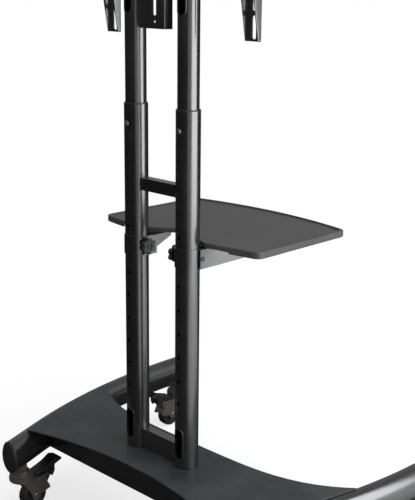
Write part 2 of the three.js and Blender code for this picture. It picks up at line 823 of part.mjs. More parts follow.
// plan of a bent strip whose inner face starts at x
function supportStrip(x, width, from_y, length) {
  const run_x = Math.sin(support_splay);
  const run_y = Math.cos(support_splay);
  const shift = width * Math.tan(support_splay / 2);
  return polygon([
    [x, from_y], [x + width, from_y], [x + width, support_bend_y - shift],
    [x + width + length * run_x, support_bend_y - shift + length * run_y],
    [x + length * run_x, support_bend_y + length * run_y], [x, support_bend_y],
  ]);
}

function mirrored(side, body) {
  return side > 0 ? body : body.mirror([1, 0, 0]);
}

function support() {
  const outer_x = column_x + support_outer_reach;
  const inner_x = column_x - clamp_radius - seat_gap - support_sheet;
  const back_y = column_radius + support_back_gap;
  const bottom = tray_top_z - support_bottom_drop;
  const sheet_z = tray_top_z - tray_rim_height - tray_sheet - seat_gap;
  const low_top = tray_bottom_z + tray_short_skirt_cut - seat_gap;
  const step_y = tray_near_y + tray_skirt + tray_corner_radius / 2;
  const reach_y = support_bend_y + support_length;
  const far_z = bottom + support_rise_share * (reach_y - support_bend_y);

  const web = prismZ(supportStrip(outer_x, support_sheet, support_outer_near_y, support_length),
    bottom, sheet_z);
  const flange_x = outer_x - support_flange_width + support_sheet;
  const flange = prismZ(supportStrip(flange_x, support_flange_width, support_bend_y, support_length),
    sheet_z - support_sheet, sheet_z);
  const back = box(inner_x, outer_x + support_sheet, back_y, back_y + support_sheet, bottom, low_top);
  const cheek = prismX(polygon([
    [support_inner_near_y, bottom], [gusset_near_y, bottom], [back_y + support_sheet, bottom],
    [back_y + support_sheet, tray_top_z - gusset_near_drop],
    [gusset_far_y, tray_top_z - gusset_far_drop], [gusset_far_y, low_top],
    [support_inner_near_y, low_top],
  ]), inner_x, inner_x + support_sheet);

  const under = prismX(polygon([
    [support_bend_y, bottom], [support_bend_y, bottom - overrun], [reach_y, bottom - overrun],
    [reach_y, far_z],
  ]), outer_x - support_flange_width, tray_near_width);
  const step = box(outer_x - overrun, tray_near_width, 0, step_y, low_top, tray_top_z);
  const rivet_hole = prismX(disc(clamp_rivet_y, clamp_z, clamp_rivet_diameter / 2 + seat_gap),
    outer_x - overrun, outer_x + support_sheet + overrun, small_facets);
  const bolt_hole = prismX(disc(0, clamp_z, clamp_bolt_diameter / 2 + seat_gap),
    inner_x - overrun, inner_x + support_sheet + overrun, small_facets);
  return cut(joined(web, flange, back, cheek), under, step, rivet_hole, bolt_hole);
}

// a strap bent round the near side of the column, with a straight leg each side
function clamp() {
  const inner = column_radius + seat_gap;
  const strap = new THREE.Shape()
    .moveTo(-clamp_radius, clamp_leg_y)
    .lineTo(-clamp_radius, 0)
    .absarc(0, 0, clamp_radius, Math.PI, 2 * Math.PI)
    .lineTo(clamp_radius, clamp_leg_y)
    .lineTo(inner, clamp_leg_y)
    .lineTo(inner, 0)
    .absarc(0, 0, inner, 2 * Math.PI, Math.PI, true)
    .lineTo(-inner, clamp_leg_y);
  strap.closePath();
  const head_x = support_outer_reach + support_sheet + seat_gap;
  const rivet = joined(
    prismX(disc(clamp_rivet_y, clamp_z, clamp_rivet_diameter / 2), inner + clamp_wall / 2,
      head_x + clamp_rivet_head_height / 2, small_facets),
    prismX(disc(clamp_rivet_y, clamp_z, clamp_rivet_head_diameter / 2), head_x,
      head_x + clamp_rivet_head_height, small_facets));
  const bolt_hole = prismX(disc(0, clamp_z, clamp_bolt_diameter / 2 + seat_gap),
    -clamp_radius - overrun, -inner / 2, small_facets);
  const body = joined(prismZ(strap, clamp_bottom_z, clamp_top_z, fine_facets / 2), rivet);
  return cut(body, bolt_hole).translate([column_x, 0, 0]);
}

function clampKnob() {
  const tip = column_x - column_radius - 2 * seat_gap;
  const face = column_x - clamp_radius - support_sheet - 2 * seat_gap;
  const reach = face - clamp_hub_thickness;
  return joined(
    prismX(starOutline(0, clamp_z, clamp_knob_diameter), reach - knob_grip_thickness, reach),
    prismX(disc(0, clamp_z, knob_hub_diameter / 2), reach - knob_grip_thickness / 2, face, small_facets),
    prismX(disc(0, clamp_z, clamp_bolt_diameter / 2), reach, tip, small_facets));
}

function addShelf() {
  add('shelf_tray', tray(), 'tray_powder');
  for (const [side, word] of [[-1, 'left'], [1, 'right']]) {
    add(`${word}_shelf_support`, mirrored(side, support()), 'powder');
    add(`${word}_shelf_clamp`, mirrored(side, clamp()), 'powder');
    add(`${word}_clamp_knob`, mirrored(side, clampKnob()), 'moulding');
  }
}

// Casters, drawn about their swivel axis with the wheel trailing towards +y

function casterStem(x, y, side) {
  const flange_bottom = head_top_z + seat_gap;
  const flange_top = flange_bottom + stem_flange_thickness;
  const cup_top = flange_top + stem_cup_height;
  const stem = turned([
    [0, flange_bottom - king_pin_depth], [king_pin_diameter / 2, flange_bottom - king_pin_depth],
    [king_pin_diameter / 2, flange_bottom], [stem_flange_diameter / 2, flange_bottom],
    [stem_flange_diameter / 2, flange_top], [stem_cup_diameter / 2, cup_top],
    [stem_diameter / 2, cup_top], [stem_diameter / 2, leg_axis_z], [0, leg_axis_z],
  ], unit_z, new THREE.Vector3(x, y, 0));
  return cut(stem, legRoom(side));
}

function forkOutline() {
  const hood = wheel_radius + wheel_hood_gap + fork_hood_thickness;
  const head_z = head_top_z - head_thickness;
  const head = head_diameter / 2;
  const shape = new THREE.Shape()
    .moveTo(fork_front_u, head_z + overrun / 3)
    .lineTo(fork_knee_u, fork_knee_z)
    .lineTo(caster_trail - fork_boss_radius, wheel_radius)
    .absarc(caster_trail, wheel_radius, fork_boss_radius, Math.PI, 2 * Math.PI)
    .lineTo(caster_trail + hood * Math.cos(fork_rear_angle),
      wheel_radius + hood * Math.sin(fork_rear_angle))
    .lineTo(pedal_pivot_u + pedal_lug_radius, pedal_pivot_z)
    .absarc(pedal_pivot_u, pedal_pivot_z, pedal_lug_radius, 0, Math.PI * 2 / 3)
    .lineTo(head, head_z)
    .lineTo(head - overrun / 3, head_z + overrun / 3);
  shape.closePath();
  return shape;
}

function fork() {
  const half = fork_half_width;
  const room = wheel_width / 2 + wheel_side_gap;
  const hood_room = wheel_radius + wheel_hood_gap;
  const head_z = head_top_z - head_thickness;
  const head = turned([
    [0, head_z], [head_diameter / 2 - overrun / 2, head_z], [head_diameter / 2, head_z + overrun / 2],
    [head_diameter / 2, head_top_z], [0, head_top_z],
  ], unit_z, new THREE.Vector3());
  const body = joined(head, prismX(forkOutline(), -half, half, small_facets));
  const pin_room = prismZ(disc(0, 0, king_pin_diameter / 2 + seat_gap),
    head_top_z - king_pin_depth - seat_gap, head_top_z + overrun);
  const wheel_room = prismX(disc(caster_trail, wheel_radius, hood_room), -room, room, tube_facets);
  const open_below = box(-room, room, -head_diameter, caster_trail + 2 * hood_room, 0,
    wheel_radius + fork_boss_radius);
  const axle_room = prismX(disc(caster_trail, wheel_radius, axle_diameter / 2 + seat_gap),
    -half - overrun, half + overrun, small_facets);
  const tongue = pedal_tongue_width / 2 + seat_gap;
  const tongue_room = prismX(disc(pedal_pivot_u, pedal_pivot_z, pedal_lug_radius + overrun),
    -tongue, tongue, small_facets);
  const pedal_pin_room = prismX(disc(pedal_pivot_u, pedal_pivot_z, pedal_pin_diameter / 2 + seat_gap),
    -half - overrun, half + overrun, small_facets);
  return cut(body, pin_room, wheel_room, open_below, axle_room, tongue_room, pedal_pin_room);
}

function axle() {
  const face = fork_half_width + seat_gap;
  const head = disc(caster_trail, wheel_radius, axle_head_diameter / 2);
  return joined(
    prismX(disc(caster_trail, wheel_radius, axle_diameter / 2), -face - axle_head_thickness / 2,
      face + axle_head_thickness / 2, small_facets),
    prismX(head, face, face + axle_head_thickness, small_facets),
    prismX(head, -face - axle_head_thickness, -face, small_facets));
}

function wheel() {
  const bore = axle_diameter / 2 + seat_gap;
  const half = wheel_width / 2;
  const hub_share = 0.28;
  const dish_share = 0.7;
  const bead_share = 0.78;
  const dish_depth_share = 0.3;
  const tread_share = 0.8;
  const side = [
    [bore, half], [wheel_radius * hub_share, half],
    [wheel_radius * hub_share, half * (1 - dish_depth_share)],
    [wheel_radius * dish_share, half * (1 - dish_depth_share)],
    [wheel_radius * bead_share, half], [wheel_radius, half * tread_share],
  ];
  const other = side.map(([radius, w]) => [radius, -w]);
  const profile = [...other, ...side.reverse(), other[0]];
  return turned(profile, unit_x, new THREE.Vector3(0, caster_trail, wheel_radius));
}

function pedal() {
  const cheek_u = pedal_pivot_u + pedal_lug_radius + pedal_cheek_gap;
  const cheek_far_u = cheek_u + pedal_cheek_depth;
  const plate = polygon([
    [pedal_front_u, pedal_front_z], [pedal_front_u, pedal_front_z - pedal_thickness],
    [cheek_u, pedal_heel_z - pedal_thickness], [cheek_u, pedal_pivot_z],
    [(cheek_u + cheek_far_u) / 2, pedal_cheek_bottom_z], [cheek_far_u, pedal_pivot_z + pedal_lug_radius],
    [cheek_far_u, pedal_heel_z - pedal_thickness], [pedal_toe_u, pedal_toe_z - pedal_thickness],
    [pedal_toe_u, pedal_toe_z], [pedal_crest_u, pedal_crest_z], [pedal_heel_u, pedal_heel_z],
  ]);
  const tongue_reach = pedal_lug_radius - seat_gap;
  const tongue = new THREE.Shape()
    .moveTo(pedal_pivot_u - tongue_reach, pedal_pivot_z)
    .absarc(pedal_pivot_u, pedal_pivot_z, tongue_reach, Math.PI, 2 * Math.PI)
    .lineTo(cheek_u + overrun / 3, pedal_pivot_z)
    .lineTo(cheek_u + overrun / 3, pedal_heel_z - pedal_thickness / 2)
    .lineTo(pedal_pivot_u - tongue_reach, pedal_heel_z - 2 * pedal_thickness);
  tongue.closePath();
  const half = pedal_width / 2;
  const tongue_half = pedal_tongue_width / 2;
  return joined(
    prismX(plate, -half, half),
    prismX(tongue, -tongue_half, tongue_half, small_facets),
    prismX(disc(pedal_pivot_u, pedal_pivot_z, pedal_pin_diameter / 2), -fork_half_width,
      fork_half_width, small_facets));
}

function addCaster(side, end, word) {
  const rear_y = leg_rear_y + caster_end_distance * Math.cos(leg_bend_angle);
  const y = end === 'rear' ? rear_y : leg_front_y - caster_end_distance;
  const x = side * legX(y);
  add(`${word}_caster_stem`, casterStem(x, y, side), 'caster_moulding');
  const swivel = new THREE.Group();
  swivel.position.set(x, y, 0);
  swivel.rotation.z = end === 'rear' ? 0 : Math.PI;
  stand.add(swivel);
  add(`${word}_caster_fork`, fork(), 'caster_moulding', swivel);
  add(`${word}_caster_axle`, axle(), 'plated_steel', swivel);
  add(`${word}_caster_wheel`, wheel(), 'tyre', swivel);
  add(`${word}_brake_pedal`, pedal(), 'moulding', swivel);
}

addBase();
for (const [side, word] of [[-1, 'left'], [1, 'right']]) {
  addLeg(side, word);
  addOuterColumn(side, word);
  addInnerColumn(side, word);
  addTelevisionArm(side, word);
  addCaster(side, 'rear', `${word}_rear`);
  addCaster(side, 'front', `${word}_front`);
}
add('upper_crossbar', crossbar(upper_crossbar_z, upper_crossbar_height), 'powder');
add('lower_crossbar', crossbar(column_bottom_z, lower_crossbar_height), 'powder');
addMountFrame();
addShelf();

stand.updateMatrixWorld(true);
const footprint = new THREE.Box3().setFromObject(stand);
stand.position.y = -(footprint.min.y + footprint.max.y) / 2;

export default stand;
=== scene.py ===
"""The looks of a mobile television stand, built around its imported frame."""
import math

import bmesh
import bpy
from mathutils import Matrix, Vector


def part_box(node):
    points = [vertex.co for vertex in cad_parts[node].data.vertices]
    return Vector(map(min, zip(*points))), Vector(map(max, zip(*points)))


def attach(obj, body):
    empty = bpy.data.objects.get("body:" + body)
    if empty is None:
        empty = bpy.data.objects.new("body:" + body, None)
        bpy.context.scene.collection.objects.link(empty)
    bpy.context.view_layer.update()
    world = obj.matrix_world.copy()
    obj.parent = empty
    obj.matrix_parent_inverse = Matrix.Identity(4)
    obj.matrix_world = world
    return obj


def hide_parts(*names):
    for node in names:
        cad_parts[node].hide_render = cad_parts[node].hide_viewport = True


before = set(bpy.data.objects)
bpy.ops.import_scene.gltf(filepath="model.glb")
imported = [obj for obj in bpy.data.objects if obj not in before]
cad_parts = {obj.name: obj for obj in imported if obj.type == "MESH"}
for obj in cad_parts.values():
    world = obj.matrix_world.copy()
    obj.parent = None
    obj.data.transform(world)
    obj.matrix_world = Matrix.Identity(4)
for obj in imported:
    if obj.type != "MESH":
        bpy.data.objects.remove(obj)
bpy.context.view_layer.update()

MM = 0.001
SIDES = (("left", -1), ("right", 1))

# Camera: the photograph's viewing angle, in the stand's own frame
CAMERA_FROM_COLUMNS = Vector((1.5615, -1.440202, 1.2098))
CAMERA_AZIMUTH = math.radians(44.75)
CAMERA_PITCH = math.radians(14.762)
CAMERA_ROLL = math.radians(0.599)
CAMERA_FOCAL_PX = 1058.0
PHOTO_LONG_SIDE_PX = 500.0
SENSOR = 36.0


def add_camera():
    data = bpy.data.cameras.new("photo_camera")
    data.sensor_width = SENSOR
    data.lens = CAMERA_FOCAL_PX / PHOTO_LONG_SIDE_PX * SENSOR
    camera = bpy.data.objects.new("photo_camera", data)
    bpy.context.scene.collection.objects.link(camera)
    forward = Vector((
        -math.sin(CAMERA_AZIMUTH) * math.cos(CAMERA_PITCH),
        math.cos(CAMERA_AZIMUTH) * math.cos(CAMERA_PITCH),
        -math.sin(CAMERA_PITCH)))
    turn = forward.to_track_quat("-Z", "Y").to_matrix() @ Matrix.Rotation(CAMERA_ROLL, 3, "Z")
    place = CAMERA_FROM_COLUMNS + Vector((0, column_y, 0))
    camera.matrix_world = Matrix.Translation(place) @ turn.to_4x4()
    bpy.context.scene.camera = camera


# Materials

CLOUD_SCALE = 9.0
CLOUD_RANGE = (0.3, 0.7)
COLOUR_RANGE = (0.5, 0.95)
GRAIN_IN_COLOUR = 0.45
GRAIN_DEPTH = 0.25


def node(tree, kind, **settings):
    """Each setting is the value of an input or, where the node has no such input, of a property."""
    made = tree.nodes.new(kind)
    for name, value in settings.items():
        if name in made.inputs:
            made.inputs[name].default_value = value
        else:
            setattr(made, name, value)
    return made


def remapped(tree, value, from_range, to_range=(0.0, 1.0), interpolation="SMOOTHSTEP"):
    """A value taken from one range to another, and held beyond its ends."""
    change = node(tree, "ShaderNodeMapRange", interpolation_type=interpolation)
    for name, end in zip(("From Min", "From Max", "To Min", "To Max"), from_range + to_range):
        change.inputs[name].default_value = end
    tree.links.new(value, change.inputs["Value"])
    return change.outputs["Result"]


def grey(level, warmth=0.0):
    return (level * (1 + warmth), level, level * (1 - warmth), 1)


def coated(name, colours, roughness, grain, bump, specular=0.5, ior=1.5, metallic=0.0):
    """A finish with a fine grain in its bump and slow, faint clouds in its colour and gloss."""
    material = bpy.data.materials.new(name)
    material.use_nodes = True
    tree = material.node_tree
    shader = tree.nodes["Principled BSDF"]
    shader.inputs["Specular IOR Level"].default_value = specular
    shader.inputs["IOR"].default_value = ior
    shader.inputs["Metallic"].default_value = metallic

    place = node(tree, "ShaderNodeTexCoord")
    fine = node(tree, "ShaderNodeTexNoise", Scale=1 / grain, Detail=3.0, Roughness=0.6)
    slow = node(tree, "ShaderNodeTexNoise", Scale=CLOUD_SCALE, Detail=4.0, Roughness=0.65)
    for noise in (fine, slow):
        tree.links.new(place.outputs["Object"], noise.inputs["Vector"])

    mottle = node(tree, "ShaderNodeMath", operation="MULTIPLY_ADD")
    mottle.inputs[1].default_value = GRAIN_IN_COLOUR
    tree.links.new(fine.outputs["Fac"], mottle.inputs[0])
    tree.links.new(slow.outputs["Fac"], mottle.inputs[2])
    ramp = node(tree, "ShaderNodeValToRGB")
    for element, position, colour in zip(ramp.color_ramp.elements, COLOUR_RANGE, colours):
        element.position = position
        element.color = colour
    tree.links.new(mottle.outputs[0], ramp.inputs["Fac"])
    tree.links.new(ramp.outputs["Color"], shader.inputs["Base Color"])

    gloss = remapped(tree, slow.outputs["Fac"], CLOUD_RANGE, roughness, "LINEAR")
    tree.links.new(gloss, shader.inputs["Roughness"])

    relief = node(tree, "ShaderNodeBump", Strength=bump, Distance=grain * GRAIN_DEPTH)
    tree.links.new(fine.outputs["Fac"], relief.inputs["Height"])
    tree.links.new(relief.outputs["Normal"], shader.inputs["Normal"])
    return material


MATERIALS = {
    "powder": coated(
        "satin_black_powder", colours=(grey(0.007), grey(0.011)), roughness=(0.20, 0.27),
        grain=1.6 * MM, bump=0.05, specular=1.0, ior=1.75),
    "textured_powder": coated(
        "textured_black_powder", colours=(grey(0.018, -0.06), grey(0.060, -0.06)),
        roughness=(0.44, 0.56), grain=2.6 * MM, bump=0.85),
    "tray_powder": coated(
        "tray_black_powder", colours=(grey(0.050, 0.02), grey(0.068, 0.02)), roughness=(0.46, 0.56),
        grain=1.2 * MM, bump=0.30),
    "moulding": coated(
        "black_moulding", colours=(grey(0.010), grey(0.018)), roughness=(0.28, 0.38),
        grain=1.0 * MM, bump=0.15, specular=0.6),
    "caster_moulding": coated(
        "caster_moulding", colours=(grey(0.045, 0.08), grey(0.075, 0.08)), roughness=(0.28, 0.38),
        grain=1.4 * MM, bump=0.15),
    "wheel_tread": coated(
        "wheel_tread", colours=(grey(0.006), grey(0.014)), roughness=(0.48, 0.60),
        grain=0.9 * MM, bump=0.35),
    "plated_steel": coated(
        "plated_steel", colours=(grey(0.42), grey(0.56)), roughness=(0.28, 0.40),
        grain=0.8 * MM, bump=0.15, metallic=1.0),
}


# Mesh tools: closed bodies gathered in a bmesh, then cut, joined and rounded as objects

# ALONG_X takes an outline in y and z along x, ALONG_Y one in x and z along -y
ALONG_X = Matrix(((0, 0, 1, 0), (1, 0, 0, 0), (0, 1, 0, 0), (0, 0, 0, 1)))
ALONG_Y = Matrix(((1, 0, 0, 0), (0, 0, -1, 0), (0, 1, 0, 0), (0, 0, 0, 1)))
SMALL_STEPS = 32
FINE_STEPS = 96
FIT_GAP = 0.3 * MM
CREASE = math.radians(35)
FLAT = math.radians(1)
WELD = 0.001 * MM


def at(x, y, z):
    return Matrix.Translation((x, y, z))


def arc(a, b, radius, start, end, steps):
    angles = [start + (end - start) * i / steps for i in range(steps + 1)]
    return [(a + radius * math.cos(t), b + radius * math.sin(t)) for t in angles]


def circle(a, b, radius, steps=SMALL_STEPS):
    return arc(a, b, radius, 0, math.tau * (steps - 1) / steps, steps - 1)


def stadium(a, b, width, height, steps=16):
    radius = width / 2
    reach = height / 2 - radius
    return (arc(a, b + reach, radius, 0, math.pi, steps)
            + arc(a, b - reach, radius, math.pi, math.tau, steps))


def rectangle(a0, a1, b0, b1):
    return [(a0, b0), (a1, b0), (a1, b1), (a0, b1)]


def softened(corners, steps=8):
    """Corners are (a, b, radius). Each one is replaced by a smooth curve that starts radius away."""
    points = []
    for i, (a, b, radius) in enumerate(corners):
        here = Vector((a, b))
        before = Vector(corners[i - 1][:2]) - here
        after = Vector(corners[(i + 1) % len(corners)][:2]) - here
        if not radius:
            points.append((a, b))
            continue
        half = before.angle(after) / 2
        start = here + before.normalized() * (radius / math.tan(half))
        end = here + after.normalized() * (radius / math.tan(half))
        for k in range(steps + 1):
            t = k / steps
            points.append(tuple(start * (1 - t) ** 2 + here * (2 * t * (1 - t)) + end * t ** 2))
    return points


def prism(shape, outline, low, high, matrix=Matrix()):
    """A body with one outline all along, from a low to a high end on the matrix's own Z."""
    rings = [[shape.verts.new(matrix @ Vector((a, b, h))) for a, b in outline] for h in (low, high)]
    count = len(outline)
    shape.faces.new(reversed(rings[0]))
    shape.faces.new(rings[1])
    for i in range(count):
        j = (i + 1) % count
        shape.faces.new((rings[0][i], rings[0][j], rings[1][j], rings[1][i]))
    return shape


def prism_along_y(shape, outline, near_y, far_y):
    return prism(shape, outline, -far_y, -near_y, ALONG_Y)


def turned(shape, profile, matrix=Matrix(), steps=64):
    """The profile is (radius, height) up the axis, and closes on itself or on the axis."""
    rings = []
    for radius, height in profile:
        if radius == 0:
            rings.append([shape.verts.new(matrix @ Vector((0, 0, height)))])
        else:
            rings.append([shape.verts.new(matrix @ Vector((a, b, height)))
                          for a, b in circle(0, 0, radius, steps)])
    count = len(rings)
    for i in range(count):
        one, two = rings[i], rings[(i + 1) % count]
        if len(one) == 1 and len(two) == 1:
            continue
        for k in range(steps):
            m = (k + 1) % steps
            if len(one) == 1:
                shape.faces.new((one[0], two[m], two[k]))
            elif len(two) == 1:
                shape.faces.new((one[k], one[m], two[0]))
            else:
                shape.faces.new((one[k], one[m], two[m], two[k]))
    return shape


def swept(shape, rings, closed=False):
    """Joins rings of points into a skin, with the ends filled unless the path is closed."""
    made = [[shape.verts.new(p) for p in ring] for ring in rings]
    count = len(made[0])
    pairs = zip(made, made[1:] + made[:1]) if closed else zip(made, made[1:])
    for one, two in pairs:
        for i in range(count):
            j = (i + 1) % count
            shape.faces.new((one[i], one[j], two[j], two[i]))
    if not closed:
        shape.faces.new(reversed(made[0]))
        shape.faces.new(made[-1])
    return shape


def solid(name, shape):
    bmesh.ops.recalc_face_normals(shape, faces=shape.faces)
    mesh = bpy.data.meshes.new(name)
    shape.to_mesh(mesh)
    shape.free()
    made = bpy.data.objects.new(name, mesh)
    bpy.context.scene.collection.objects.link(made)
    return made


def apply_modifiers(piece):
    graph = bpy.context.evaluated_depsgraph_get()
    mesh = bpy.data.meshes.new_from_object(piece.evaluated_get(graph))
    old = piece.data
    piece.modifiers.clear()
    piece.data = mesh
    bpy.data.meshes.remove(old)
    return piece


def combine(piece, shape, operation):
    tool = solid("tool", shape)
    change = piece.modifiers.new("change", "BOOLEAN")
    change.operation = operation
    change.object = tool
    change.solver = "EXACT"
    apply_modifiers(piece)
    bpy.data.objects.remove(tool)


def cut(piece, shape):
    combine(piece, shape, "DIFFERENCE")


def join(piece, shape):
    combine(piece, shape, "UNION")


def rounded(piece, width, segments=2, angle=30):
    bevel = piece.modifiers.new("bevel", "BEVEL")
    bevel.width = width
    bevel.segments = segments
    bevel.limit_method = "ANGLE"
    bevel.angle_limit = math.radians(angle)
    return apply_modifiers(piece)


def settle(piece, body, finish, nodes=()):
    """Shades a finished piece, gives it its finish, ties it to its body and hides the nodes that it
    stands for.
    """
    piece.data.shade_smooth()
    piece.data.set_sharp_from_angle(angle=CREASE)
    even = piece.modifiers.new("even_faces", "WEIGHTED_NORMAL")
    even.keep_sharp = True
    apply_modifiers(piece)
    piece.data.materials.clear()
    piece.data.materials.append(MATERIALS[finish])
    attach(piece, body)
    if nodes:
        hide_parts(*nodes)


def remade(name, body, finish, width):
    """A clean copy of a CAD node's shape, with soft edges, that stands for the node."""
    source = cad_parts[name]
    shape = bmesh.new()
    corners = [shape.verts.new(source.matrix_world @ v.co) for v in source.data.vertices]
    for face in source.data.polygons:
        shape.faces.new([corners[i] for i in face.vertices])
    bmesh.ops.remove_doubles(shape, verts=shape.verts, dist=WELD)
    bmesh.ops.dissolve_limit(shape, angle_limit=FLAT, verts=shape.verts, edges=shape.edges)
    settle(rounded(solid(f"{name}_shape", shape), width), body, finish, [name])


def middle(name):
    low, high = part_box(name)
    return (low + high) / 2


def extent(name):
    low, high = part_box(name)
    return high - low


# Columns, their bushes, caps, screws and grommets

column_y = middle("right_outer_column").y
column_radius = extent("right_outer_column").x / 2
inner_radius = extent("right_inner_column").x / 2
COLUMN_WALL = 1.6 * MM
INNER_WALL = 1.5 * MM
HOLE_RADIUS = 4 * MM
HOLE_PITCH = 50.8 * MM
HOLE_COUNT = 11
FIRST_HOLE_DROP = 102.4 * MM
SLOT_RIM = 1.3 * MM
SLOT_LIP = 3 * MM
GROMMET_PROUD = 1.5 * MM
GROMMET_DEPTH = 2 * MM
BUSH_GAP = 0.25 * MM
BUSH_FLANGE = 1.5 * MM
BUSH_SOFT = 0.4 * MM
TOP_CAP_DOME = 4 * MM
TOP_CAP_RIM = 1.5 * MM
SCREW_DROP = 40 * MM
SCREW_SHANK = 3.5 * MM
SCREW_HEAD_THICK = 2.7 * MM
SCREW_HEAD_SOFT = 0.8 * MM
SCREW_SOCKET = 2.3 * MM
SCREW_SOCKET_DEPTH = 2 * MM


def tube(name, radius, wall, low, high, x):
    """An upright tube on a column's axis, with softened rims."""
    lip = wall / 4
    inner = radius - wall
    profile = [
        (inner, low), (radius - lip, low), (radius, low + lip), (radius, high - lip),
        (radius - lip, high), (inner + lip, high), (inner, high - lip),
    ]
    return solid(name, turned(bmesh.new(), profile, at(x, column_y, 0), FINE_STEPS))


def slot_hole(shape, lip_node, radius, x):
    """The opening that a slot's lip lines, through the near wall only."""
    size = extent(lip_node)
    face = column_y - radius
    outline = stadium(x, middle(lip_node).z, size.x - 2 * SLOT_RIM, size.z - 2 * SLOT_RIM)
    return prism_along_y(shape, outline, face - radius / 2, face + radius)


def grommet(name, lip_node, body, radius, wall, x):
    """A soft lip that follows the slot's edge round the column's face."""
    size = extent(lip_node)
    z = middle(lip_node).z
    soft = 0.4 * MM
    crest = 1.2 * MM
    foot = 0.15 * MM
    back = -wall - GROMMET_DEPTH
    profile = [
        (0, foot), (soft, GROMMET_PROUD * 0.8), (crest, GROMMET_PROUD),
        (SLOT_LIP * 0.8, GROMMET_PROUD), (SLOT_LIP, GROMMET_PROUD * 0.6), (SLOT_LIP, back),
        (SLOT_RIM + soft, back), (SLOT_RIM + soft, foot),
    ]
    half = size.x / 2
    reach = size.z / 2 - half
    steps = 16
    rings = []
    for sign, start in ((1, 0), (-1, math.pi)):
        for i in range(steps + 1):
            t = start + math.pi * i / steps
            ring = []
            for inward, proud in profile:
                a = (half - inward) * math.cos(t)
                b = sign * reach + (half - inward) * math.sin(t)
                ring.append((x + a, column_y - math.sqrt((radius + proud) ** 2 - a ** 2), z + b))
            rings.append(ring)
    settle(solid(name, swept(bmesh.new(), rings, closed=True)), body, "moulding", [lip_node])


def add_lower_column(word, x):
    name = f"{word}_outer_column"
    lip_node = f"{word}_lower_grommet"
    low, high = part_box(name)
    column = tube(f"{word}_lower_tube", column_radius, COLUMN_WALL, low.z, high.z, x)
    levels = [high.z - FIRST_HOLE_DROP - i * HOLE_PITCH for i in range(HOLE_COUNT)]
    holes = bmesh.new()
    for z in levels + [high.z - SCREW_DROP]:
        prism_along_y(holes, circle(x, z, HOLE_RADIUS), column_y - 2 * column_radius, column_y)
    slot_hole(holes, lip_node, column_radius, x)
    cut(column, holes)
    settle(column, "base", "powder", [name])
    grommet(f"{word}_lower_cable_lip", lip_node, "base", column_radius, COLUMN_WALL, x)


def add_upper_column(word, x):
    name = f"{word}_inner_column"
    lip_node = f"{word}_upper_grommet"
    low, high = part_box(name)
    column = tube(f"{word}_upper_tube", inner_radius, INNER_WALL, low.z, high.z, x)
    cut(column, slot_hole(bmesh.new(), lip_node, inner_radius, x))
    settle(column, "upper_frame", "powder", [name])
    grommet(f"{word}_upper_cable_lip", lip_node, "upper_frame", inner_radius, INNER_WALL, x)


def add_bush(word, x):
    """A sleeve between the columns, with a flange that caps the outer one's rim."""
    name = f"{word}_column_bush"
    low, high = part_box(name)
    bore = inner_radius + BUSH_GAP
    sleeve = column_radius - COLUMN_WALL - BUSH_GAP
    step = high.z - BUSH_FLANGE
    profile = [
        (bore, low.z), (sleeve, low.z), (sleeve, step), (column_radius - BUSH_SOFT, step),
        (column_radius, step + BUSH_SOFT), (column_radius, high.z - BUSH_SOFT),
        (column_radius - BUSH_SOFT, high.z), (bore + BUSH_SOFT, high.z), (bore, high.z - BUSH_SOFT),
    ]
    bush = solid(f"{word}_rim_bush", turned(bmesh.new(), profile, at(x, column_y, 0), FINE_STEPS))
    settle(bush, "base", "moulding", [name])


def add_top_cap(word, x):
    """A domed cap whose plug sits in the inner column."""
    name = f"{word}_column_cap"
    low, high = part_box(name)
    rim = high.z - TOP_CAP_DOME
    seat = rim - TOP_CAP_RIM
    plug = inner_radius - INNER_WALL - FIT_GAP
    steps = 10
    angles = [math.pi / 2 * i / steps for i in range(steps)]
    dome = [(inner_radius * math.cos(t), rim + TOP_CAP_DOME * math.sin(t)) for t in angles]
    profile = [(0, low.z), (plug, low.z), (plug, seat), (inner_radius, seat)] + dome + [(0, high.z)]
    cap = solid(f"{word}_top_cap", turned(bmesh.new(), profile, at(x, column_y, 0)))
    settle(cap, "upper_frame", "moulding", [name])


def add_height_screw(word, x):
    """A low round head with a hexagon socket, near the outer column's rim."""
    name = f"{word}_height_screw"
    low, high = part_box(name)
    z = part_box(f"{word}_outer_column")[1].z - SCREW_DROP
    head = extent(name).x / 2
    deep = high.y - low.y
    under = deep - SCREW_HEAD_THICK
    profile = [
        (0, 0), (SCREW_SHANK, 0), (SCREW_SHANK, under), (head, under),
        (head, deep - SCREW_HEAD_SOFT), (head - SCREW_HEAD_SOFT, deep), (0, deep),
    ]
    outward = at(x, high.y, z) @ Matrix.Rotation(math.pi / 2, 4, "X")
    screw = solid(f"{word}_lock_screw", turned(bmesh.new(), profile, outward, SMALL_STEPS))
    hexagon = circle(x, z, SCREW_SOCKET, 6)
    cut(screw, prism_along_y(bmesh.new(), hexagon, low.y - MM, low.y + SCREW_SOCKET_DEPTH))
    settle(screw, "base", "plated_steel", [name])


def add_columns():
    for word, _ in SIDES:
        x = middle(f"{word}_outer_column").x
        add_lower_column(word, x)
        add_upper_column(word, x)
        add_bush(word, x)
        add_top_cap(word, x)
        add_height_screw(word, x)


# Legs and their end caps

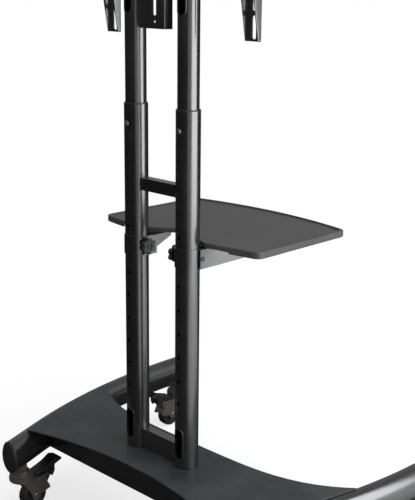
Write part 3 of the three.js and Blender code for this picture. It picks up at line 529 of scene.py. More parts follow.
LEG_HALF_WIDTH = 25 * MM
LEG_BEND_RADIUS = 1400 * MM
LEG_BEND = math.radians(21)
LEG_REAR_STRAIGHT = 113 * MM
LEG_FRONT_STRAIGHT = 75 * MM
LEG_WALL = 2 * MM
LEG_PLUG = 14 * MM
LEG_CAP_OVERHANG = 0.5 * MM
LEG_CAP_EDGE = 2.5 * MM
LEG_CAP_LIP = 2.6 * MM
LEG_CAP_RISE = 5 * MM
LEG_CAP_STEP = 0.6 * MM
leg_half_height = extent("right_leg").z / 2
leg_axis_z = middle("right_leg").z
leg_front_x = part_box("right_leg")[1].x - LEG_HALF_WIDTH
leg_rear_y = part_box("right_leg")[0].y
leg_front_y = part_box("right_leg")[1].y
leg_bend_y = leg_front_y - LEG_FRONT_STRAIGHT
leg_length = LEG_REAR_STRAIGHT + LEG_BEND_RADIUS * LEG_BEND + LEG_FRONT_STRAIGHT


def leg_point(side, s):
    """The point and heading at a distance along the leg from its rear end."""
    bend_length = LEG_BEND_RADIUS * LEG_BEND
    if s < LEG_REAR_STRAIGHT:
        turn = LEG_BEND
    elif s < LEG_REAR_STRAIGHT + bend_length:
        turn = LEG_BEND - (s - LEG_REAR_STRAIGHT) / LEG_BEND_RADIUS
    else:
        turn = 0
    x = leg_front_x - LEG_BEND_RADIUS * (1 - math.cos(turn))
    y = leg_bend_y - LEG_BEND_RADIUS * math.sin(turn)
    past = min(s - LEG_REAR_STRAIGHT, 0) + max(s - LEG_REAR_STRAIGHT - bend_length, 0)
    x += past * math.sin(turn)
    y += past * math.cos(turn)
    heading = Vector((side * math.sin(turn), math.cos(turn), 0))
    return Vector((side * x, y, leg_axis_z)), heading


def leg_ring(side, s, inset, cut_y=None):
    """The oval section at a distance along the leg, square to it or cut square to the stand."""
    point, heading = leg_point(side, s)
    across = heading.cross(Vector((0, 0, 1))) * (LEG_HALF_WIDTH - inset)
    up = Vector((0, 0, leg_half_height - inset))
    angles = [math.tau * k / FINE_STEPS for k in range(FINE_STEPS)]
    ring = [point + across * math.cos(t) + up * math.sin(t) for t in angles]
    if cut_y is None:
        return ring
    return [p + heading * ((cut_y - p.y) / heading.y) for p in ring]


def leg_rings(side, inset, steps=48):
    places = [leg_length * i / steps for i in range(1, steps)]
    return ([leg_ring(side, 0, inset, leg_rear_y)]
            + [leg_ring(side, s, inset) for s in places]
            + [leg_ring(side, leg_length, inset, leg_front_y)])


def tube_wall(shape, outer, inner):
    """A tube's wall between two skins, each a list of rings, with its ends closed."""
    skins = [[[shape.verts.new(p) for p in ring] for ring in rings] for rings in (outer, inner)]
    count = len(outer[0])
    for skin in skins:
        for one, two in zip(skin, skin[1:]):
            for i in range(count):
                j = (i + 1) % count
                shape.faces.new((one[i], one[j], two[j], two[i]))
    for end in (0, -1):
        for i in range(count):
            j = (i + 1) % count
            shape.faces.new((skins[0][end][i], skins[0][end][j], skins[1][end][j], skins[1][end][i]))
    return shape


def add_legs():
    for word, side in SIDES:
        wall = tube_wall(bmesh.new(), leg_rings(side, 0), leg_rings(side, LEG_WALL))
        settle(solid(f"{word}_leg_tube", wall), "base", "powder", [f"{word}_leg"])
        add_leg_cap(word, side, "rear", 0, leg_rear_y, -1)
        add_leg_cap(word, side, "front", leg_length, leg_front_y, 1)


def add_leg_cap(word, side, end, s, face_y, outward):
    """A domed oval cap with a thin rim, and a plug inside the tube."""
    point, heading = leg_point(side, s)
    rim = leg_half_height + LEG_CAP_OVERHANG
    seat = FIT_GAP
    edge = LEG_CAP_EDGE
    soft = 0.3 * MM
    bend = 0.8 * MM
    foot = rim - LEG_CAP_LIP
    steps = 14
    angles = [math.pi / 2 * i / steps for i in range(steps, 0, -1)]
    rise = LEG_CAP_RISE - LEG_CAP_STEP
    dome = [(foot * math.sin(t), edge + LEG_CAP_STEP + rise * math.cos(t)) for t in angles]
    profile = [
        (0, seat), (rim - soft, seat), (rim, seat + soft), (rim, edge - bend), (rim - bend, edge),
        (rim - 1.8 * MM, edge + 0.2 * MM), (foot + 0.1 * MM, edge - 0.4 * MM),
    ] + dome + [(0, edge + LEG_CAP_RISE)]
    narrow = (LEG_HALF_WIDTH / heading.y + LEG_CAP_OVERHANG) / rim
    place = (at(point.x, face_y, leg_axis_z) @ Matrix.Rotation(-outward * math.pi / 2, 4, "X")
             @ Matrix.Diagonal((narrow, 1, 1, 1)))
    cap = solid(f"{word}_{end}_end_cap", turned(bmesh.new(), profile, place, FINE_STEPS))
    inset = LEG_WALL + FIT_GAP
    ends = [leg_ring(side, s, inset, face_y + outward * MM),
            leg_ring(side, s, inset, face_y - outward * LEG_PLUG)]
    join(cap, swept(bmesh.new(), ends))
    settle(cap, "base", "moulding", [f"{word}_leg_{end}_cap"])


# Base plate: a bow tie between the crests of the legs, placed from the columns' line

PLATE_FAR_Y = 87 * MM
PLATE_FAR_CORNER_Y = 178 * MM
PLATE_FAR_POWER = 4
PLATE_NEAR_Y = -88 * MM
PLATE_NEAR_CORNER_Y = -138 * MM
PLATE_NEAR_POWER = 2
PLATE_SIDE_INSET = 3 * MM
PLATE_SOFT = 0.7 * MM


def leg_x(y):
    """How far the leg's centreline lies from the middle at a given y, found by halving."""
    low, high = 0.0, leg_length
    for _ in range(40):
        s = (low + high) / 2
        if leg_point(1, s)[0].y < y:
            low = s
        else:
            high = s
    return leg_point(1, low)[0].x


def plate_side_x(y):
    return leg_x(y + column_y) - PLATE_SIDE_INSET


def plate_outline():
    """The near edge, the right side, the far edge and the left side. Both edges are hollow."""
    steps = 24
    edges = (
        (PLATE_NEAR_Y, PLATE_NEAR_CORNER_Y, PLATE_FAR_CORNER_Y, PLATE_NEAR_POWER, 1),
        (PLATE_FAR_Y, PLATE_FAR_CORNER_Y, PLATE_NEAR_CORNER_Y, PLATE_FAR_POWER, -1),
    )
    outline = []
    for middle_y, corner_y, next_corner_y, power, run in edges:
        half = plate_side_x(corner_y)
        for i in range(-steps, steps):
            share = run * i / steps
            hollow = (corner_y - middle_y) * abs(share) ** power
            outline.append((share * half, column_y + middle_y + hollow))
        for i in range(steps):
            y = corner_y + (next_corner_y - corner_y) * i / steps
            outline.append((run * plate_side_x(y), column_y + y))
    return outline


def add_plate():
    low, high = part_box("base_plate")
    plate = solid("floor_plate", prism(bmesh.new(), plate_outline(), low.z, high.z))
    rounded(plate, PLATE_SOFT, 3)
    settle(plate, "base", "textured_powder", ["base_plate"])


# Star knobs

KNOB_LOBES = 6
KNOB_VALLEY = 5 * MM
KNOB_THICK = 10 * MM
KNOB_SOFT = 2 * MM
KNOB_COLLAR = 9 * MM
KNOB_DISH = 6.4 * MM
KNOB_DISH_DEPTH = 1.4 * MM
KNOB_BOSS = 4.6 * MM
BOLT_RADIUS = 3 * MM
BOLT_BORE = BOLT_RADIUS + FIT_GAP
BOLT_SOFT = 0.5 * MM
NUT_RADIUS = 5.6 * MM


def star(radius, steps=144):
    points = []
    for i in range(steps):
        t = math.tau * i / steps
        r = radius - KNOB_VALLEY * (1 - abs(math.cos(KNOB_LOBES * t / 2)) ** 0.8)
        points.append((r * math.cos(t), r * math.sin(t)))
    return points


def knob_grip(name, radius, hub):
    """Its outer face looks towards +Z, and holds a round boss in a dish. A collar fills the hub."""
    top = hub + KNOB_THICK
    inside = hub + KNOB_THICK / 2
    soft = 0.6 * MM
    grip = solid(name, prism(bmesh.new(), star(radius), hub, top))
    rounded(grip, KNOB_SOFT, 4)
    collar = [(0, 0), (KNOB_COLLAR - soft, 0), (KNOB_COLLAR, soft), (KNOB_COLLAR, inside), (0, inside)]
    join(grip, turned(bmesh.new(), collar, steps=48))
    floor_z = top - KNOB_DISH_DEPTH
    dish = [(0, floor_z), (KNOB_DISH, floor_z), (KNOB_DISH + 0.8 * MM, top + MM), (0, top + MM)]
    cut(grip, turned(bmesh.new(), dish, steps=48))
    boss = [(0, top - 2 * MM), (KNOB_BOSS, top - 2 * MM), (KNOB_BOSS, top - soft),
            (KNOB_BOSS - soft, top - 0.1 * MM), (0, top + 0.1 * MM)]
    join(grip, turned(bmesh.new(), boss, steps=48))
    return grip


def star_knob(name, node_name, body, place, radius, hub, bolt_length, nut=0.0):
    """Drawn with its bolt along -Z. The grip starts hub above the seat, which is at zero."""
    grip = knob_grip(name, radius, hub)
    grip.data.transform(place)
    settle(grip, body, "moulding", [node_name])

    end = -bolt_length
    profile = [(0, end), (BOLT_RADIUS - BOLT_SOFT, end), (BOLT_RADIUS, end + BOLT_SOFT),
               (BOLT_RADIUS, MM), (0, MM)]
    bolt = solid(f"{name}_bolt", turned(bmesh.new(), profile, steps=SMALL_STEPS))
    if nut:
        nut_z = end + 0.6 * MM
        join(bolt, prism(bmesh.new(), circle(0, 0, NUT_RADIUS, 6), nut_z, nut_z + nut))
    bolt.data.transform(place)
    settle(bolt, body, "plated_steel")


def facing_x(sign):
    return Matrix.Rotation(sign * math.pi / 2, 4, "Y")


# Shelf: tray, supports, clamp straps and knobs

TRAY_NEAR_HALF = 232.5 * MM
TRAY_FAR_HALF = 228 * MM
TRAY_NEAR_Y = 23 * MM
TRAY_NEAR_CORNER_Y = 43.5 * MM
TRAY_BOW = 28 * MM
TRAY_NEAR_LOW_X = 100 * MM
TRAY_NOTCH_Y = 68 * MM
TRAY_NOTCH_WIDTH = 62 * MM
TRAY_MOUTH_WIDTH = 150 * MM
TRAY_MOUTH_Y = 34 * MM
TRAY_CORNER = 20 * MM
TRAY_RIM_WIDTH = 6 * MM
TRAY_RIM_HEIGHT = 3 * MM
TRAY_SHEET = 3 * MM
TRAY_SKIRT = 4 * MM
SHORT_SKIRT_WIDTH = 320 * MM
SHORT_SKIRT_CUT = 4 * MM
TRAY_SOFT = 2.2 * MM
RECESS_SOFT = 1.2 * MM
CUT_PAST = 5 * MM


def tray_outline(inset):
    """The near edge steps back between the columns, and the far edge is bowed outward."""
    half = TRAY_NEAR_HALF - inset
    far_half = TRAY_FAR_HALF - inset
    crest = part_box("shelf_tray")[1].y - column_y - inset
    near = TRAY_NEAR_Y + inset
    notch = TRAY_NOTCH_WIDTH / 2 + inset
    mouth = TRAY_MOUTH_WIDTH / 2 + inset
    soft = TRAY_CORNER - inset
    corners = [
        (-half, TRAY_NEAR_CORNER_Y + inset, soft), (-TRAY_NEAR_LOW_X, near, soft / 2),
        (-mouth, TRAY_MOUTH_Y + inset, soft / 2), (-notch, TRAY_NOTCH_Y + inset, soft / 2),
        (notch, TRAY_NOTCH_Y + inset, soft / 2), (mouth, TRAY_MOUTH_Y + inset, soft / 2),
        (TRAY_NEAR_LOW_X, near, soft / 2), (half, TRAY_NEAR_CORNER_Y + inset, soft),
        (far_half, crest - TRAY_BOW, soft),
    ]
    steps = 16
    for i in range(steps - 2, 1 - steps, -1):
        share = i / steps
        corners.append((share * far_half, crest - TRAY_BOW * share ** 2, 0))
    corners.append((-far_half, crest - TRAY_BOW, soft))
    return [(a, b + column_y) for a, b in softened(corners)]


def tray_recess(floor_z, top_z):
    """The hollow above the tray's floor, with its own soft lower edge."""
    recess = solid("recess", prism(bmesh.new(), tray_outline(TRAY_RIM_WIDTH), floor_z, top_z))
    rounded(recess, RECESS_SOFT, 3, 60)
    shape = bmesh.new()
    shape.from_mesh(recess.data)
    bpy.data.objects.remove(recess)
    return shape


def add_tray():
    low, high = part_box("shelf_tray")
    floor_z = high.z - TRAY_RIM_HEIGHT
    tray = solid("equipment_tray", prism(bmesh.new(), tray_outline(0), low.z, high.z))
    rounded(tray, TRAY_SOFT, 4, 60)
    cut(tray, tray_recess(floor_z, high.z + CUT_PAST))
    cut(tray, prism(bmesh.new(), tray_outline(TRAY_SKIRT), low.z - CUT_PAST, floor_z - TRAY_SHEET))
    half = SHORT_SKIRT_WIDTH / 2
    notch = rectangle(-half, half, column_y, column_y + TRAY_NOTCH_Y + 2 * TRAY_SKIRT)
    cut(tray, prism(bmesh.new(), notch, low.z - CUT_PAST, low.z + SHORT_SKIRT_CUT))
    settle(tray, "shelf", "tray_powder", ["shelf_tray"])


CLAMP_WALL = 1.5 * MM
CLAMP_SOFT = 0.5 * MM
CLAMP_LEG = 20 * MM
CLAMP_RIVET_Y = 11 * MM
CLAMP_RIVET_REACH = 34.7 * MM
CLAMP_KNOB_OFF = 3.1 * MM
CLAMP_KNOB_RADIUS = 18 * MM
CLAMP_KNOB_HUB = 1 * MM
CLAMP_BOLT = 4.2 * MM


def add_clamps():
    for word, side in SIDES:
        low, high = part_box(f"{word}_shelf_clamp")
        x = middle(f"{word}_outer_column").x
        z = (low.z + high.z) / 2
        inner = column_radius + FIT_GAP
        outer = inner + CLAMP_WALL
        add_strap(word, side, x, low.z, high.z, inner, outer)
        add_rivet(word, side, x, z, inner)
        star_knob(
            f"{word}_shelf_knob", f"{word}_clamp_knob", f"{word}_clamp_knob_body",
            at(x - side * (outer + CLAMP_KNOB_OFF), column_y, z) @ facing_x(-side),
            radius=CLAMP_KNOB_RADIUS, hub=CLAMP_KNOB_HUB, bolt_length=CLAMP_BOLT)


def add_strap(word, side, x, low_z, high_z, inner, outer):
    """A band round the near half of the column, with two straight legs and the knob's bore."""
    outline = ([(outer, CLAMP_LEG), (inner, CLAMP_LEG)]
               + arc(0, 0, inner, 0, -math.pi, 48)
               + [(-inner, CLAMP_LEG), (-outer, CLAMP_LEG)]
               + arc(0, 0, outer, -math.pi, 0, 48))
    strap = solid(f"{word}_clamp_strap",
                  prism(bmesh.new(), outline, low_z, high_z, at(x, column_y, 0)))
    bore = prism(bmesh.new(), circle(column_y, (low_z + high_z) / 2, BOLT_BORE),
                 x - side * (outer + 2 * MM), x - side * inner / 2, ALONG_X)
    cut(strap, bore)
    rounded(strap, CLAMP_SOFT)
    settle(strap, "shelf", "powder", [f"{word}_shelf_clamp"])


def add_rivet(word, side, x, z, inner):
    """A domed rivet that ties the strap to the support beside it."""
    start = inner + CLAMP_WALL / 2
    end = CLAMP_RIVET_REACH
    shank = 2.5 * MM
    head = 4.5 * MM
    profile = [
        (0, start), (shank, start), (shank, end - 2 * MM), (head, end - 2 * MM),
        (head - 0.2 * MM, end - 1.1 * MM), (3 * MM, end - 0.3 * MM), (0, end),
    ]
    place = at(x, column_y + CLAMP_RIVET_Y, z) @ facing_x(side)
    rivet = solid(f"{word}_clamp_rivet", turned(bmesh.new(), profile, place, SMALL_STEPS))
    settle(rivet, "shelf", "moulding")


# Television mount: slotted arms and their tilt knobs

ARM_SHEET = 2 * MM
ARM_END_DEPTH = 9.5 * MM
ARM_TAPER = 111 * MM
ARM_SLOTS = 8
ARM_SLOT_LENGTH = 44 * MM
ARM_SLOT_WIDTH = 9 * MM
ARM_SLOT_BRIDGE = 7.5 * MM
ARM_END_MARGIN = 4 * MM
ARM_NOTCH_HALF = 40 * MM
ARM_NOTCH_DEPTH = 11 * MM
ARM_SOFT = 2 * MM
ARM_EDGE = 0.35 * MM
TILT_SETBACK = 9 * MM
TILT_KNOB_RADIUS = 16 * MM
TILT_KNOB_HUB = 4 * MM
TILT_BOLT_PAST = 4.6 * MM
TILT_NUT = 4 * MM


def arm_flank(low, high):
    """An arm seen from the side: tapered to both ends, with a notch for its carrier."""
    face, edge = high.y, low.y
    z = (low.z + high.z) / 2
    return [
        (face, low.z), (face, high.z), (face - ARM_END_DEPTH, high.z), (edge, high.z - ARM_TAPER),
        (edge, z + ARM_NOTCH_HALF), (face - ARM_NOTCH_DEPTH, z + ARM_NOTCH_HALF),
        (face - ARM_NOTCH_DEPTH, z - ARM_NOTCH_HALF), (edge, z - ARM_NOTCH_HALF),
        (edge, low.z + ARM_TAPER), (face - ARM_END_DEPTH, low.z),
    ]


def arm_holes(low, high):
    """A row of slots in the face, and the tilt bolt's bore through both flanks."""
    holes = bmesh.new()
    x = (low.x + high.x) / 2
    first_z = low.z + ARM_END_MARGIN + ARM_SLOT_LENGTH / 2
    for i in range(ARM_SLOTS):
        slot_z = first_z + i * (ARM_SLOT_LENGTH + ARM_SLOT_BRIDGE)
        slot = stadium(x, slot_z, ARM_SLOT_WIDTH, ARM_SLOT_LENGTH)
        prism_along_y(holes, slot, high.y - 2 * ARM_SHEET, high.y + MM)
    bore = circle(high.y - TILT_SETBACK, (low.z + high.z) / 2, BOLT_BORE)
    return prism(holes, bore, low.x - MM, high.x + MM, ALONG_X)


def add_arms():
    for word, side in SIDES:
        name = f"{word}_tv_arm"
        low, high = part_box(name)
        arm = solid(f"{word}_screen_arm",
                    prism(bmesh.new(), arm_flank(low, high), low.x, high.x, ALONG_X))
        rounded(arm, ARM_SOFT, 3, 80)
        inside = rectangle(low.y - MM, high.y - ARM_SHEET, low.z - MM, high.z + MM)
        cut(arm, prism(bmesh.new(), inside, low.x + ARM_SHEET, high.x - ARM_SHEET, ALONG_X))
        cut(arm, arm_holes(low, high))
        rounded(arm, ARM_EDGE, 2, 40)
        settle(arm, f"{word}_arm", "powder", [name])

        half = (high.x - low.x) / 2
        seat = (low.x + high.x) / 2 + side * (half + FIT_GAP)
        star_knob(
            f"{word}_angle_knob", f"{word}_tilt_knob", f"{word}_tilt_knob_body",
            at(seat, high.y - TILT_SETBACK, (low.z + high.z) / 2) @ facing_x(side),
            radius=TILT_KNOB_RADIUS, hub=TILT_KNOB_HUB, bolt_length=2 * half + TILT_BOLT_PAST,
            nut=TILT_NUT)


# Casters, drawn about their swivel axis with the wheel trailing towards +Y

CASTER_TRAIL = 30 * MM
WHEEL_WIDTH = 24 * MM
SPOKES = 6
SPOKE_HALF = 1.3 * MM
SPOKE_INSET = 1.4 * MM
AXLE_RADIUS = 4 * MM
AXLE_BORE = AXLE_RADIUS + FIT_GAP
AXLE_HEAD = 7 * MM
AXLE_HEAD_THICK = 2.2 * MM
FORK_HALF = 17 * MM
FORK_ROOM = 13.2 * MM
FORK_BOSS = 11 * MM
FORK_SOFT = 2.4 * MM
FORK_EDGE = 0.5 * MM
FORK_FRONT_Y = -11 * MM
FORK_KNEE = (14 * MM, 45 * MM)
HOOD_GAP = 2 * MM
HOOD_THICK = 6 * MM
HOOD_REAR_ANGLE = math.radians(40)
HOOD_REAR_SPAN = 0.5
HEAD_TOP = 90 * MM
HEAD_THICK = 14 * MM
HEAD_SOFT = 1.4 * MM
HEAD_GROOVE = 0.7 * MM
PIN_RADIUS = 5 * MM
PIN_LENGTH = 18 * MM
COLLAR_RADIUS = 26 * MM
STEM_RADIUS = 14 * MM
PEDAL_PIVOT = (61 * MM, 70 * MM)
PEDAL_LUG = 8 * MM
PEDAL_SWING_ROOM = 3 * MM
PEDAL_TONGUE_HALF = 11 * MM
PEDAL_TONGUE_FRONT_Z = 88 * MM
PEDAL_TONGUE_REAR_Z = 94 * MM
PEDAL_HALF = 16 * MM
PEDAL_THICK = 4.5 * MM
PEDAL_CHEEK = 3 * MM
PEDAL_SOFT = 1.2 * MM
PEDAL_FOOT_Z = 66 * MM
PEDAL_FOOT_GAP = 2 * MM
PEDAL_FOOT_LENGTH = 13 * MM
PEDAL_WALL = 2.5 * MM
PEDAL_ROOM = (64 * MM, 90 * MM)
PEDAL_HEEL = (30.5 * MM, 85 * MM)
PEDAL_BEND = (67 * MM, 97 * MM)
PEDAL_CREST = (88 * MM, 109 * MM)
PEDAL_TOE = (104 * MM, 104 * MM)
PEDAL_PIN = 3 * MM
RIB_RADIUS = 1.2 * MM
wheel_radius = extent("right_rear_caster_wheel").z / 2
head_radius = extent("right_rear_caster_fork").x / 2
wheel_centre = (CASTER_TRAIL, wheel_radius)


def head_profile():
    """The round head that swivels: a chamfered foot, a groove and a softened top."""
    foot = HEAD_TOP - HEAD_THICK
    groove = head_radius - HEAD_GROOVE
    return [
        (0, foot), (head_radius - 3 * MM, foot), (head_radius - 0.8 * MM, foot + 1.6 * MM),
        (head_radius, foot + 3.4 * MM), (head_radius, foot + 6 * MM), (groove, foot + 6.5 * MM),
        (groove, foot + 7.5 * MM), (head_radius, foot + 8 * MM), (head_radius, HEAD_TOP - HEAD_SOFT),
        (head_radius - HEAD_SOFT, HEAD_TOP), (0, HEAD_TOP),
    ]


def caster_fork():
    """A hood over the wheel with a boss on either side, lugs for the pedal and the round head."""
    foot = HEAD_TOP - HEAD_THICK
    hood = wheel_radius + HOOD_GAP + HOOD_THICK
    u, w = wheel_centre
    outline = (
        [(FORK_FRONT_Y, foot + MM), FORK_KNEE]
        + arc(u, w, FORK_BOSS, math.pi, math.tau, 20)
        + arc(u, w, hood, HOOD_REAR_ANGLE - HOOD_REAR_SPAN, HOOD_REAR_ANGLE, 8)
        + arc(*PEDAL_PIVOT, PEDAL_LUG, 0, math.tau / 3, 12)
        + [(head_radius, foot), (head_radius - MM, foot + MM)])
    fork = solid("fork", prism(bmesh.new(), outline, -FORK_HALF, FORK_HALF, ALONG_X))
    rounded(fork, FORK_SOFT, 4, 40)
    join(fork, turned(bmesh.new(), head_profile()))
    room = circle(u, w, wheel_radius + HOOD_GAP, 64)
    cut(fork, prism(bmesh.new(), room, -FORK_ROOM, FORK_ROOM, ALONG_X))
    below = rectangle(-2 * head_radius, u + 3 * wheel_radius, -MM, w + FORK_BOSS)
    cut(fork, prism(bmesh.new(), below, -FORK_ROOM, FORK_ROOM, ALONG_X))
    holes = prism(bmesh.new(), circle(u, w, AXLE_BORE), -head_radius, head_radius, ALONG_X)
    tongue = PEDAL_TONGUE_HALF + FIT_GAP
    prism(holes, circle(*PEDAL_PIVOT, PEDAL_LUG + PEDAL_SWING_ROOM, 48), -tongue, tongue, ALONG_X)
    cut(fork, holes)
    pin_room = circle(0, 0, PIN_RADIUS + FIT_GAP)
    cut(fork, prism(bmesh.new(), pin_room, HEAD_TOP - PIN_LENGTH - FIT_GAP, HEAD_TOP + MM))
    rounded(fork, FORK_EDGE, 2, 45)
    return fork


def caster_axle():
    reach = FORK_HALF + FIT_GAP
    end = reach + AXLE_HEAD_THICK
    half = [
        (AXLE_RADIUS, reach), (AXLE_HEAD, reach), (AXLE_HEAD, end - MM), (AXLE_HEAD - MM, end), (0, end),
    ]
    profile = [(a, -b) for a, b in reversed(half)] + half
    place = at(0, *wheel_centre) @ facing_x(1)
    return solid("axle", turned(bmesh.new(), profile, place, 40))


def caster_wheel():
    """A tread with soft shoulders round a dished disc with spokes and a hub."""
    half = WHEEL_WIDTH / 2
    r = wheel_radius
    hub = 0.3 * r
    dish = 0.7 * half
    soft = 0.6 * MM
    # From the hub's bore outwards to the middle of the tread
    side = [
        (AXLE_BORE, half), (hub - soft, half), (hub, half - soft), (hub + MM, dish),
        (0.70 * r, dish), (0.73 * r, dish + 0.5 * MM), (0.76 * r, half - 0.8 * MM),
        (0.79 * r, half), (0.84 * r, half), (0.86 * r, half - 0.5 * MM), (0.88 * r, half - 0.2 * MM),
        (0.94 * r, half - MM), (0.98 * r, half - 2.6 * MM), (r, half - 5 * MM), (r, half - 8 * MM),
    ]
    profile = [(a, -b) for a, b in side] + [(a, b) for a, b in reversed(side)]
    place = at(0, *wheel_centre)
    wheel = solid("wheel", turned(bmesh.new(), profile, place @ facing_x(1), FINE_STEPS))
    ribs = bmesh.new()
    rib = rectangle(hub - MM, 0.72 * r, -SPOKE_HALF, SPOKE_HALF)
    for k in range(SPOKES):
        spoke = place @ Matrix.Rotation(math.tau * k / SPOKES, 4, "X") @ ALONG_X
        prism(ribs, rib, -half + SPOKE_INSET, half - SPOKE_INSET, spoke)
    join(wheel, ribs)
    return wheel


def tread_ribs(shape, start, end, first, pitch, count, sink, inset):
    """Low round ribs across the pedal, along the slope between two points of its top."""
    slope = (end[1] - start[1]) / (end[0] - start[0])
    for k in range(count):
        run = first + pitch * k
        centre = (start[0] + run + RIB_RADIUS, start[1] + slope * run - sink)
        prism(shape, arc(*centre, RIB_RADIUS, math.pi, 0, 8),
              -PEDAL_HALF + inset, PEDAL_HALF - inset, ALONG_X)


def brake_pedal():
    """A ribbed foot plate on two cheeks, with its pin through the fork's lugs."""
    u, w = PEDAL_PIVOT
    under = PEDAL_BEND[1] - PEDAL_THICK
    inner_u = u + PEDAL_LUG + PEDAL_FOOT_GAP
    outer_u = inner_u + PEDAL_FOOT_LENGTH
    plate = [
        PEDAL_HEEL, (PEDAL_HEEL[0], PEDAL_HEEL[1] - PEDAL_THICK), (inner_u, under), (inner_u, w),
        ((inner_u + outer_u) / 2, PEDAL_FOOT_Z), (outer_u, w + PEDAL_LUG), (outer_u, under),
        (PEDAL_TOE[0], PEDAL_TOE[1] - PEDAL_THICK), PEDAL_TOE, PEDAL_CREST, PEDAL_BEND,
    ]
    pedal = solid("pedal", prism(bmesh.new(), plate, -PEDAL_HALF, PEDAL_HALF, ALONG_X))
    inside = rectangle(inner_u + PEDAL_WALL, outer_u - PEDAL_WALL, *PEDAL_ROOM)
    half = PEDAL_HALF - PEDAL_CHEEK
    cut(pedal, prism(bmesh.new(), inside, -half, half, ALONG_X))
    rounded(pedal, PEDAL_SOFT, 3, 35)
    ribs = bmesh.new()
    tread_ribs(ribs, PEDAL_CREST, PEDAL_TOE, first=0, pitch=3 * MM, count=5, sink=0.6 * MM,
               inset=1.5 * MM)
    tread_ribs(ribs, PEDAL_HEEL, PEDAL_BEND, first=9.5 * MM, pitch=6 * MM, count=3,
               sink=0.3 * MM, inset=4 * MM)
    join(pedal, ribs)
    reach = PEDAL_LUG - FIT_GAP
    tongue = (arc(u, w, reach, math.pi, math.tau, 16)
              + [(inner_u + MM, w), (inner_u + MM, PEDAL_TONGUE_REAR_Z),
                 (u - reach, PEDAL_TONGUE_FRONT_Z)])
    join(pedal, prism(bmesh.new(), tongue, -PEDAL_TONGUE_HALF, PEDAL_TONGUE_HALF, ALONG_X))
    join(pedal, prism(bmesh.new(), circle(u, w, PEDAL_PIN), -FORK_HALF, FORK_HALF, ALONG_X))
    return pedal


def caster_stem():
    """A pin in the fork's head, a flange over it, and a stepped collar up into the leg."""
    flange = HEAD_TOP + FIT_GAP
    foot = flange - PIN_LENGTH
    profile = [
        (0, foot), (PIN_RADIUS, foot), (PIN_RADIUS, flange), (COLLAR_RADIUS - MM, flange),
        (COLLAR_RADIUS, flange + MM), (COLLAR_RADIUS, flange + 4 * MM),
        (COLLAR_RADIUS - 1.6 * MM, flange + 6 * MM), (20.5 * MM, flange + 6.6 * MM),
        (20 * MM, flange + 8 * MM), (19.4 * MM, flange + 11 * MM), (17 * MM, flange + 13 * MM),
        (STEM_RADIUS, flange + 13.4 * MM), (STEM_RADIUS, leg_axis_z), (0, leg_axis_z),
    ]
    return solid("stem", turned(bmesh.new(), profile))


def add_casters():
    pieces = (
        ("fork", caster_fork(), "caster_moulding", "caster_fork"),
        ("axle", caster_axle(), "plated_steel", "caster_axle"),
        ("wheel", caster_wheel(), "wheel_tread", "caster_wheel"),
        ("pedal", brake_pedal(), "moulding", "brake_pedal"),
        ("stem", caster_stem(), "caster_moulding", "caster_stem"),
    )
    bodies = {"fork": "fork", "axle": "fork", "wheel": "wheel", "pedal": "pedal"}
    for word, side in SIDES:
        for end, turn in (("rear", 0), ("front", math.pi)):
            caster = f"{word}_{end}"
            centre = middle(f"{caster}_caster_stem")
            place = at(centre.x, centre.y, 0) @ Matrix.Rotation(turn, 4, "Z")
            for kind, source, finish, node_name in pieces:
                piece = bpy.data.objects.new(f"{caster}_wheel_{kind}", source.data.copy())
                bpy.context.scene.collection.objects.link(piece)
                piece.data.transform(place)
                if kind == "stem":
                    cut(piece, swept(bmesh.new(), leg_rings(side, -FIT_GAP)))
                body = f"{caster}_{bodies[kind]}" if kind in bodies else "base"
                settle(piece, body, finish, [f"{caster}_{node_name}"])
    for _, source, _, _ in pieces:
        bpy.data.objects.remove(source)


# Plain pieces, which keep their shape from the model and get soft edges

TUBE_SOFT = 1.0 * MM
RAIL_SOFT = 0.5 * MM
SHEET_SOFT = 0.4 * MM


def add_plain_pieces():
    for name in ("base_beam", "upper_crossbar", "lower_crossbar"):
        remade(name, "base", "powder", TUBE_SOFT)
    for name in ("centre_bracket", "rear_strap", "mount_rail"):
        remade(name, "upper_frame", "powder", RAIL_SOFT)
    for word, _ in SIDES:
        remade(f"{word}_tilt_carrier", f"{word}_carrier", "powder", SHEET_SOFT)
        remade(f"{word}_shelf_support", "shelf", "powder", SHEET_SOFT)


# Light, floor and world

WHITE = (1, 1, 1, 1)
KEY_FOOT = Vector((2.41, 0.53, 0))
KEY_HEIGHT = 1.25
KEY_COLOUR = (0.95, 0.98, 1.0)
FLOOR_RADIUS = 30.0
FLOOR_SHADOW_FADE = (0.5, 1.1)
FLOOR_SHADOW_GLOW = 0.68
FLOOR_SHADOW_LEVEL = 0.42
# Painted reflection: in reflections the floor is painted bright round the key light's foot and painted
# dark elsewhere
PAINTED_POOL_FADE = (1.75, 2.15)
PAINTED_POOL_NEAR_KEY = 0.85
PAINTED_SHADE_ELSEWHERE = 0.04
FLOOR_LEVEL = 0.8
ROOM_LEVEL = 0.35
WALL_HEIGHT = (0.0, 0.25)
WALL_LEVEL = (0.03, 0.45)
CEILING_HEIGHT = (0.35, 0.7)
CEILING_SHARE = (1.0, 0.6)


def area_light(name, place, target, size, power, colour=(1, 1, 1)):
    data = bpy.data.lights.new(name, "AREA")
    data.shape = "RECTANGLE"
    data.size, data.size_y = size
    data.energy = power
    data.color = colour
    lamp = bpy.data.objects.new(name, data)
    bpy.context.scene.collection.objects.link(lamp)
    lamp.location = place
    lamp.rotation_euler = (Vector(target) - Vector(place)).to_track_quat("-Z", "Y").to_euler()


def ray_share(tree, *kinds):
    """One where the ray is of one of the kinds, otherwise zero."""
    rays = node(tree, "ShaderNodeLightPath")
    seen = rays.outputs[kinds[0]]
    for kind in kinds[1:]:
        either = node(tree, "ShaderNodeMath", operation="MAXIMUM")
        tree.links.new(seen, either.inputs[0])
        tree.links.new(rays.outputs[kind], either.inputs[1])
        seen = either.outputs[0]
    return seen


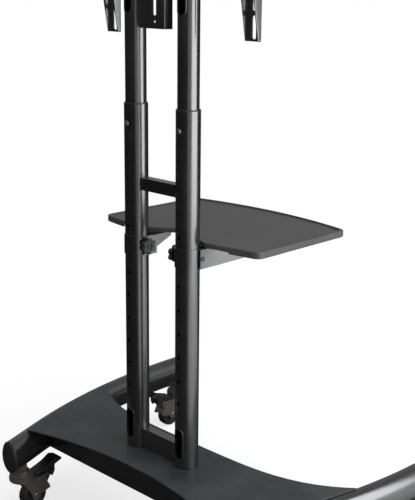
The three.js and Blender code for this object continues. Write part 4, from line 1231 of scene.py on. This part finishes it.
def mixed(tree, share, first, second):
    mix = node(tree, "ShaderNodeMixShader")
    tree.links.new(share, mix.inputs["Fac"])
    tree.links.new(first, mix.inputs[1])
    tree.links.new(second, mix.inputs[2])
    return mix.outputs["Shader"]


def matt(tree, level):
    return node(tree, "ShaderNodeBsdfDiffuse", Color=grey(level)).outputs["BSDF"]


def glow(tree, strength):
    return node(tree, "ShaderNodeEmission", Color=WHITE, Strength=strength).outputs["Emission"]


def faded(tree, centre, fade):
    """Zero inside a circle on the floor, rising to one outside it."""
    place = node(tree, "ShaderNodeTexCoord")
    reach = node(tree, "ShaderNodeVectorMath", operation="DISTANCE")
    reach.inputs[1].default_value = centre
    tree.links.new(place.outputs["Object"], reach.inputs[0])
    return remapped(tree, reach.outputs["Value"], fade)


def floor_material():
    """White to the camera, apart from a pale shadow round the casters. In reflections it shows a
    painted pool of light in front of the key light and painted shade elsewhere."""
    material = bpy.data.materials.new("pale_floor")
    material.use_nodes = True
    tree = material.node_tree
    tree.nodes.remove(tree.nodes["Principled BSDF"])

    near = node(tree, "ShaderNodeAddShader")
    tree.links.new(glow(tree, FLOOR_SHADOW_GLOW), near.inputs[0])
    tree.links.new(matt(tree, FLOOR_SHADOW_LEVEL), near.inputs[1])
    shadow_end = faded(tree, (0, 0, 0), FLOOR_SHADOW_FADE)
    seen = mixed(tree, shadow_end, near.outputs["Shader"], glow(tree, 1.0))

    # Painted light: a pool of light painted round the key light's foot, and painted shade beyond it,
    # seen only in reflections
    painted_pool_end = faded(tree, KEY_FOOT, PAINTED_POOL_FADE)
    mirrored = mixed(tree, painted_pool_end, matt(tree, PAINTED_POOL_NEAR_KEY), matt(tree, PAINTED_SHADE_ELSEWHERE))
    other = mixed(tree, ray_share(tree, "Is Glossy Ray"), matt(tree, FLOOR_LEVEL), mirrored)
    camera = ray_share(tree, "Is Camera Ray", "Is Transmission Ray")
    tree.links.new(mixed(tree, camera, other, seen), tree.nodes["Material Output"].inputs["Surface"])
    return material


def add_floor():
    shape = bmesh.new()
    shape.faces.new([shape.verts.new((a, b, 0)) for a, b in circle(0, 0, FLOOR_RADIUS, FINE_STEPS)])
    ground = solid("floor", shape)
    ground.data.materials.append(floor_material())


def backdrop(tree, strength=1.0):
    return node(tree, "ShaderNodeBackground", Color=WHITE, Strength=strength)


def add_world():
    """White to the camera. Reflections see a pale band above the horizon, dimmer overhead, and
    little below it."""
    world = bpy.data.worlds.new("studio")
    bpy.context.scene.world = world
    world.use_nodes = True
    tree = world.node_tree
    tree.nodes.clear()
    output = node(tree, "ShaderNodeOutputWorld")
    place = node(tree, "ShaderNodeTexCoord")
    axes = node(tree, "ShaderNodeSeparateXYZ")
    tree.links.new(place.outputs["Generated"], axes.inputs[0])

    band = node(tree, "ShaderNodeMath", operation="MULTIPLY")
    tree.links.new(remapped(tree, axes.outputs["Z"], WALL_HEIGHT, WALL_LEVEL), band.inputs[0])
    tree.links.new(remapped(tree, axes.outputs["Z"], CEILING_HEIGHT, CEILING_SHARE), band.inputs[1])
    mirrored = backdrop(tree)
    tree.links.new(band.outputs[0], mirrored.inputs["Strength"])

    plain = backdrop(tree, ROOM_LEVEL).outputs["Background"]
    room = mixed(tree, ray_share(tree, "Is Glossy Ray"), plain, mirrored.outputs["Background"])
    camera = ray_share(tree, "Is Camera Ray", "Is Transmission Ray")
    white = backdrop(tree).outputs["Background"]
    tree.links.new(mixed(tree, camera, room, white), output.inputs["Surface"])


def add_lights():
    """A wide cool softbox to the right, a weak panel near the camera and one overhead."""
    area_light("key_softbox", KEY_FOOT + Vector((0, 0, KEY_HEIGHT)), (0, -0.14, KEY_HEIGHT),
               size=(2.6, 2.3), power=80, colour=KEY_COLOUR)
    area_light("fill_panel", (2.5, -1.8, 1.2), (0, -0.13, 1.2), size=(1.6, 2.4), power=6)
    area_light("overhead", (0.2, 0.2, 3.2), (0, 0, 0), size=(2.0, 2.0), power=30)
    bpy.context.scene.view_settings.view_transform = "Standard"


add_camera()
add_columns()
add_legs()
add_plate()
add_tray()
add_clamps()
add_arms()
add_casters()
add_plain_pieces()
add_floor()
add_world()
add_lights()
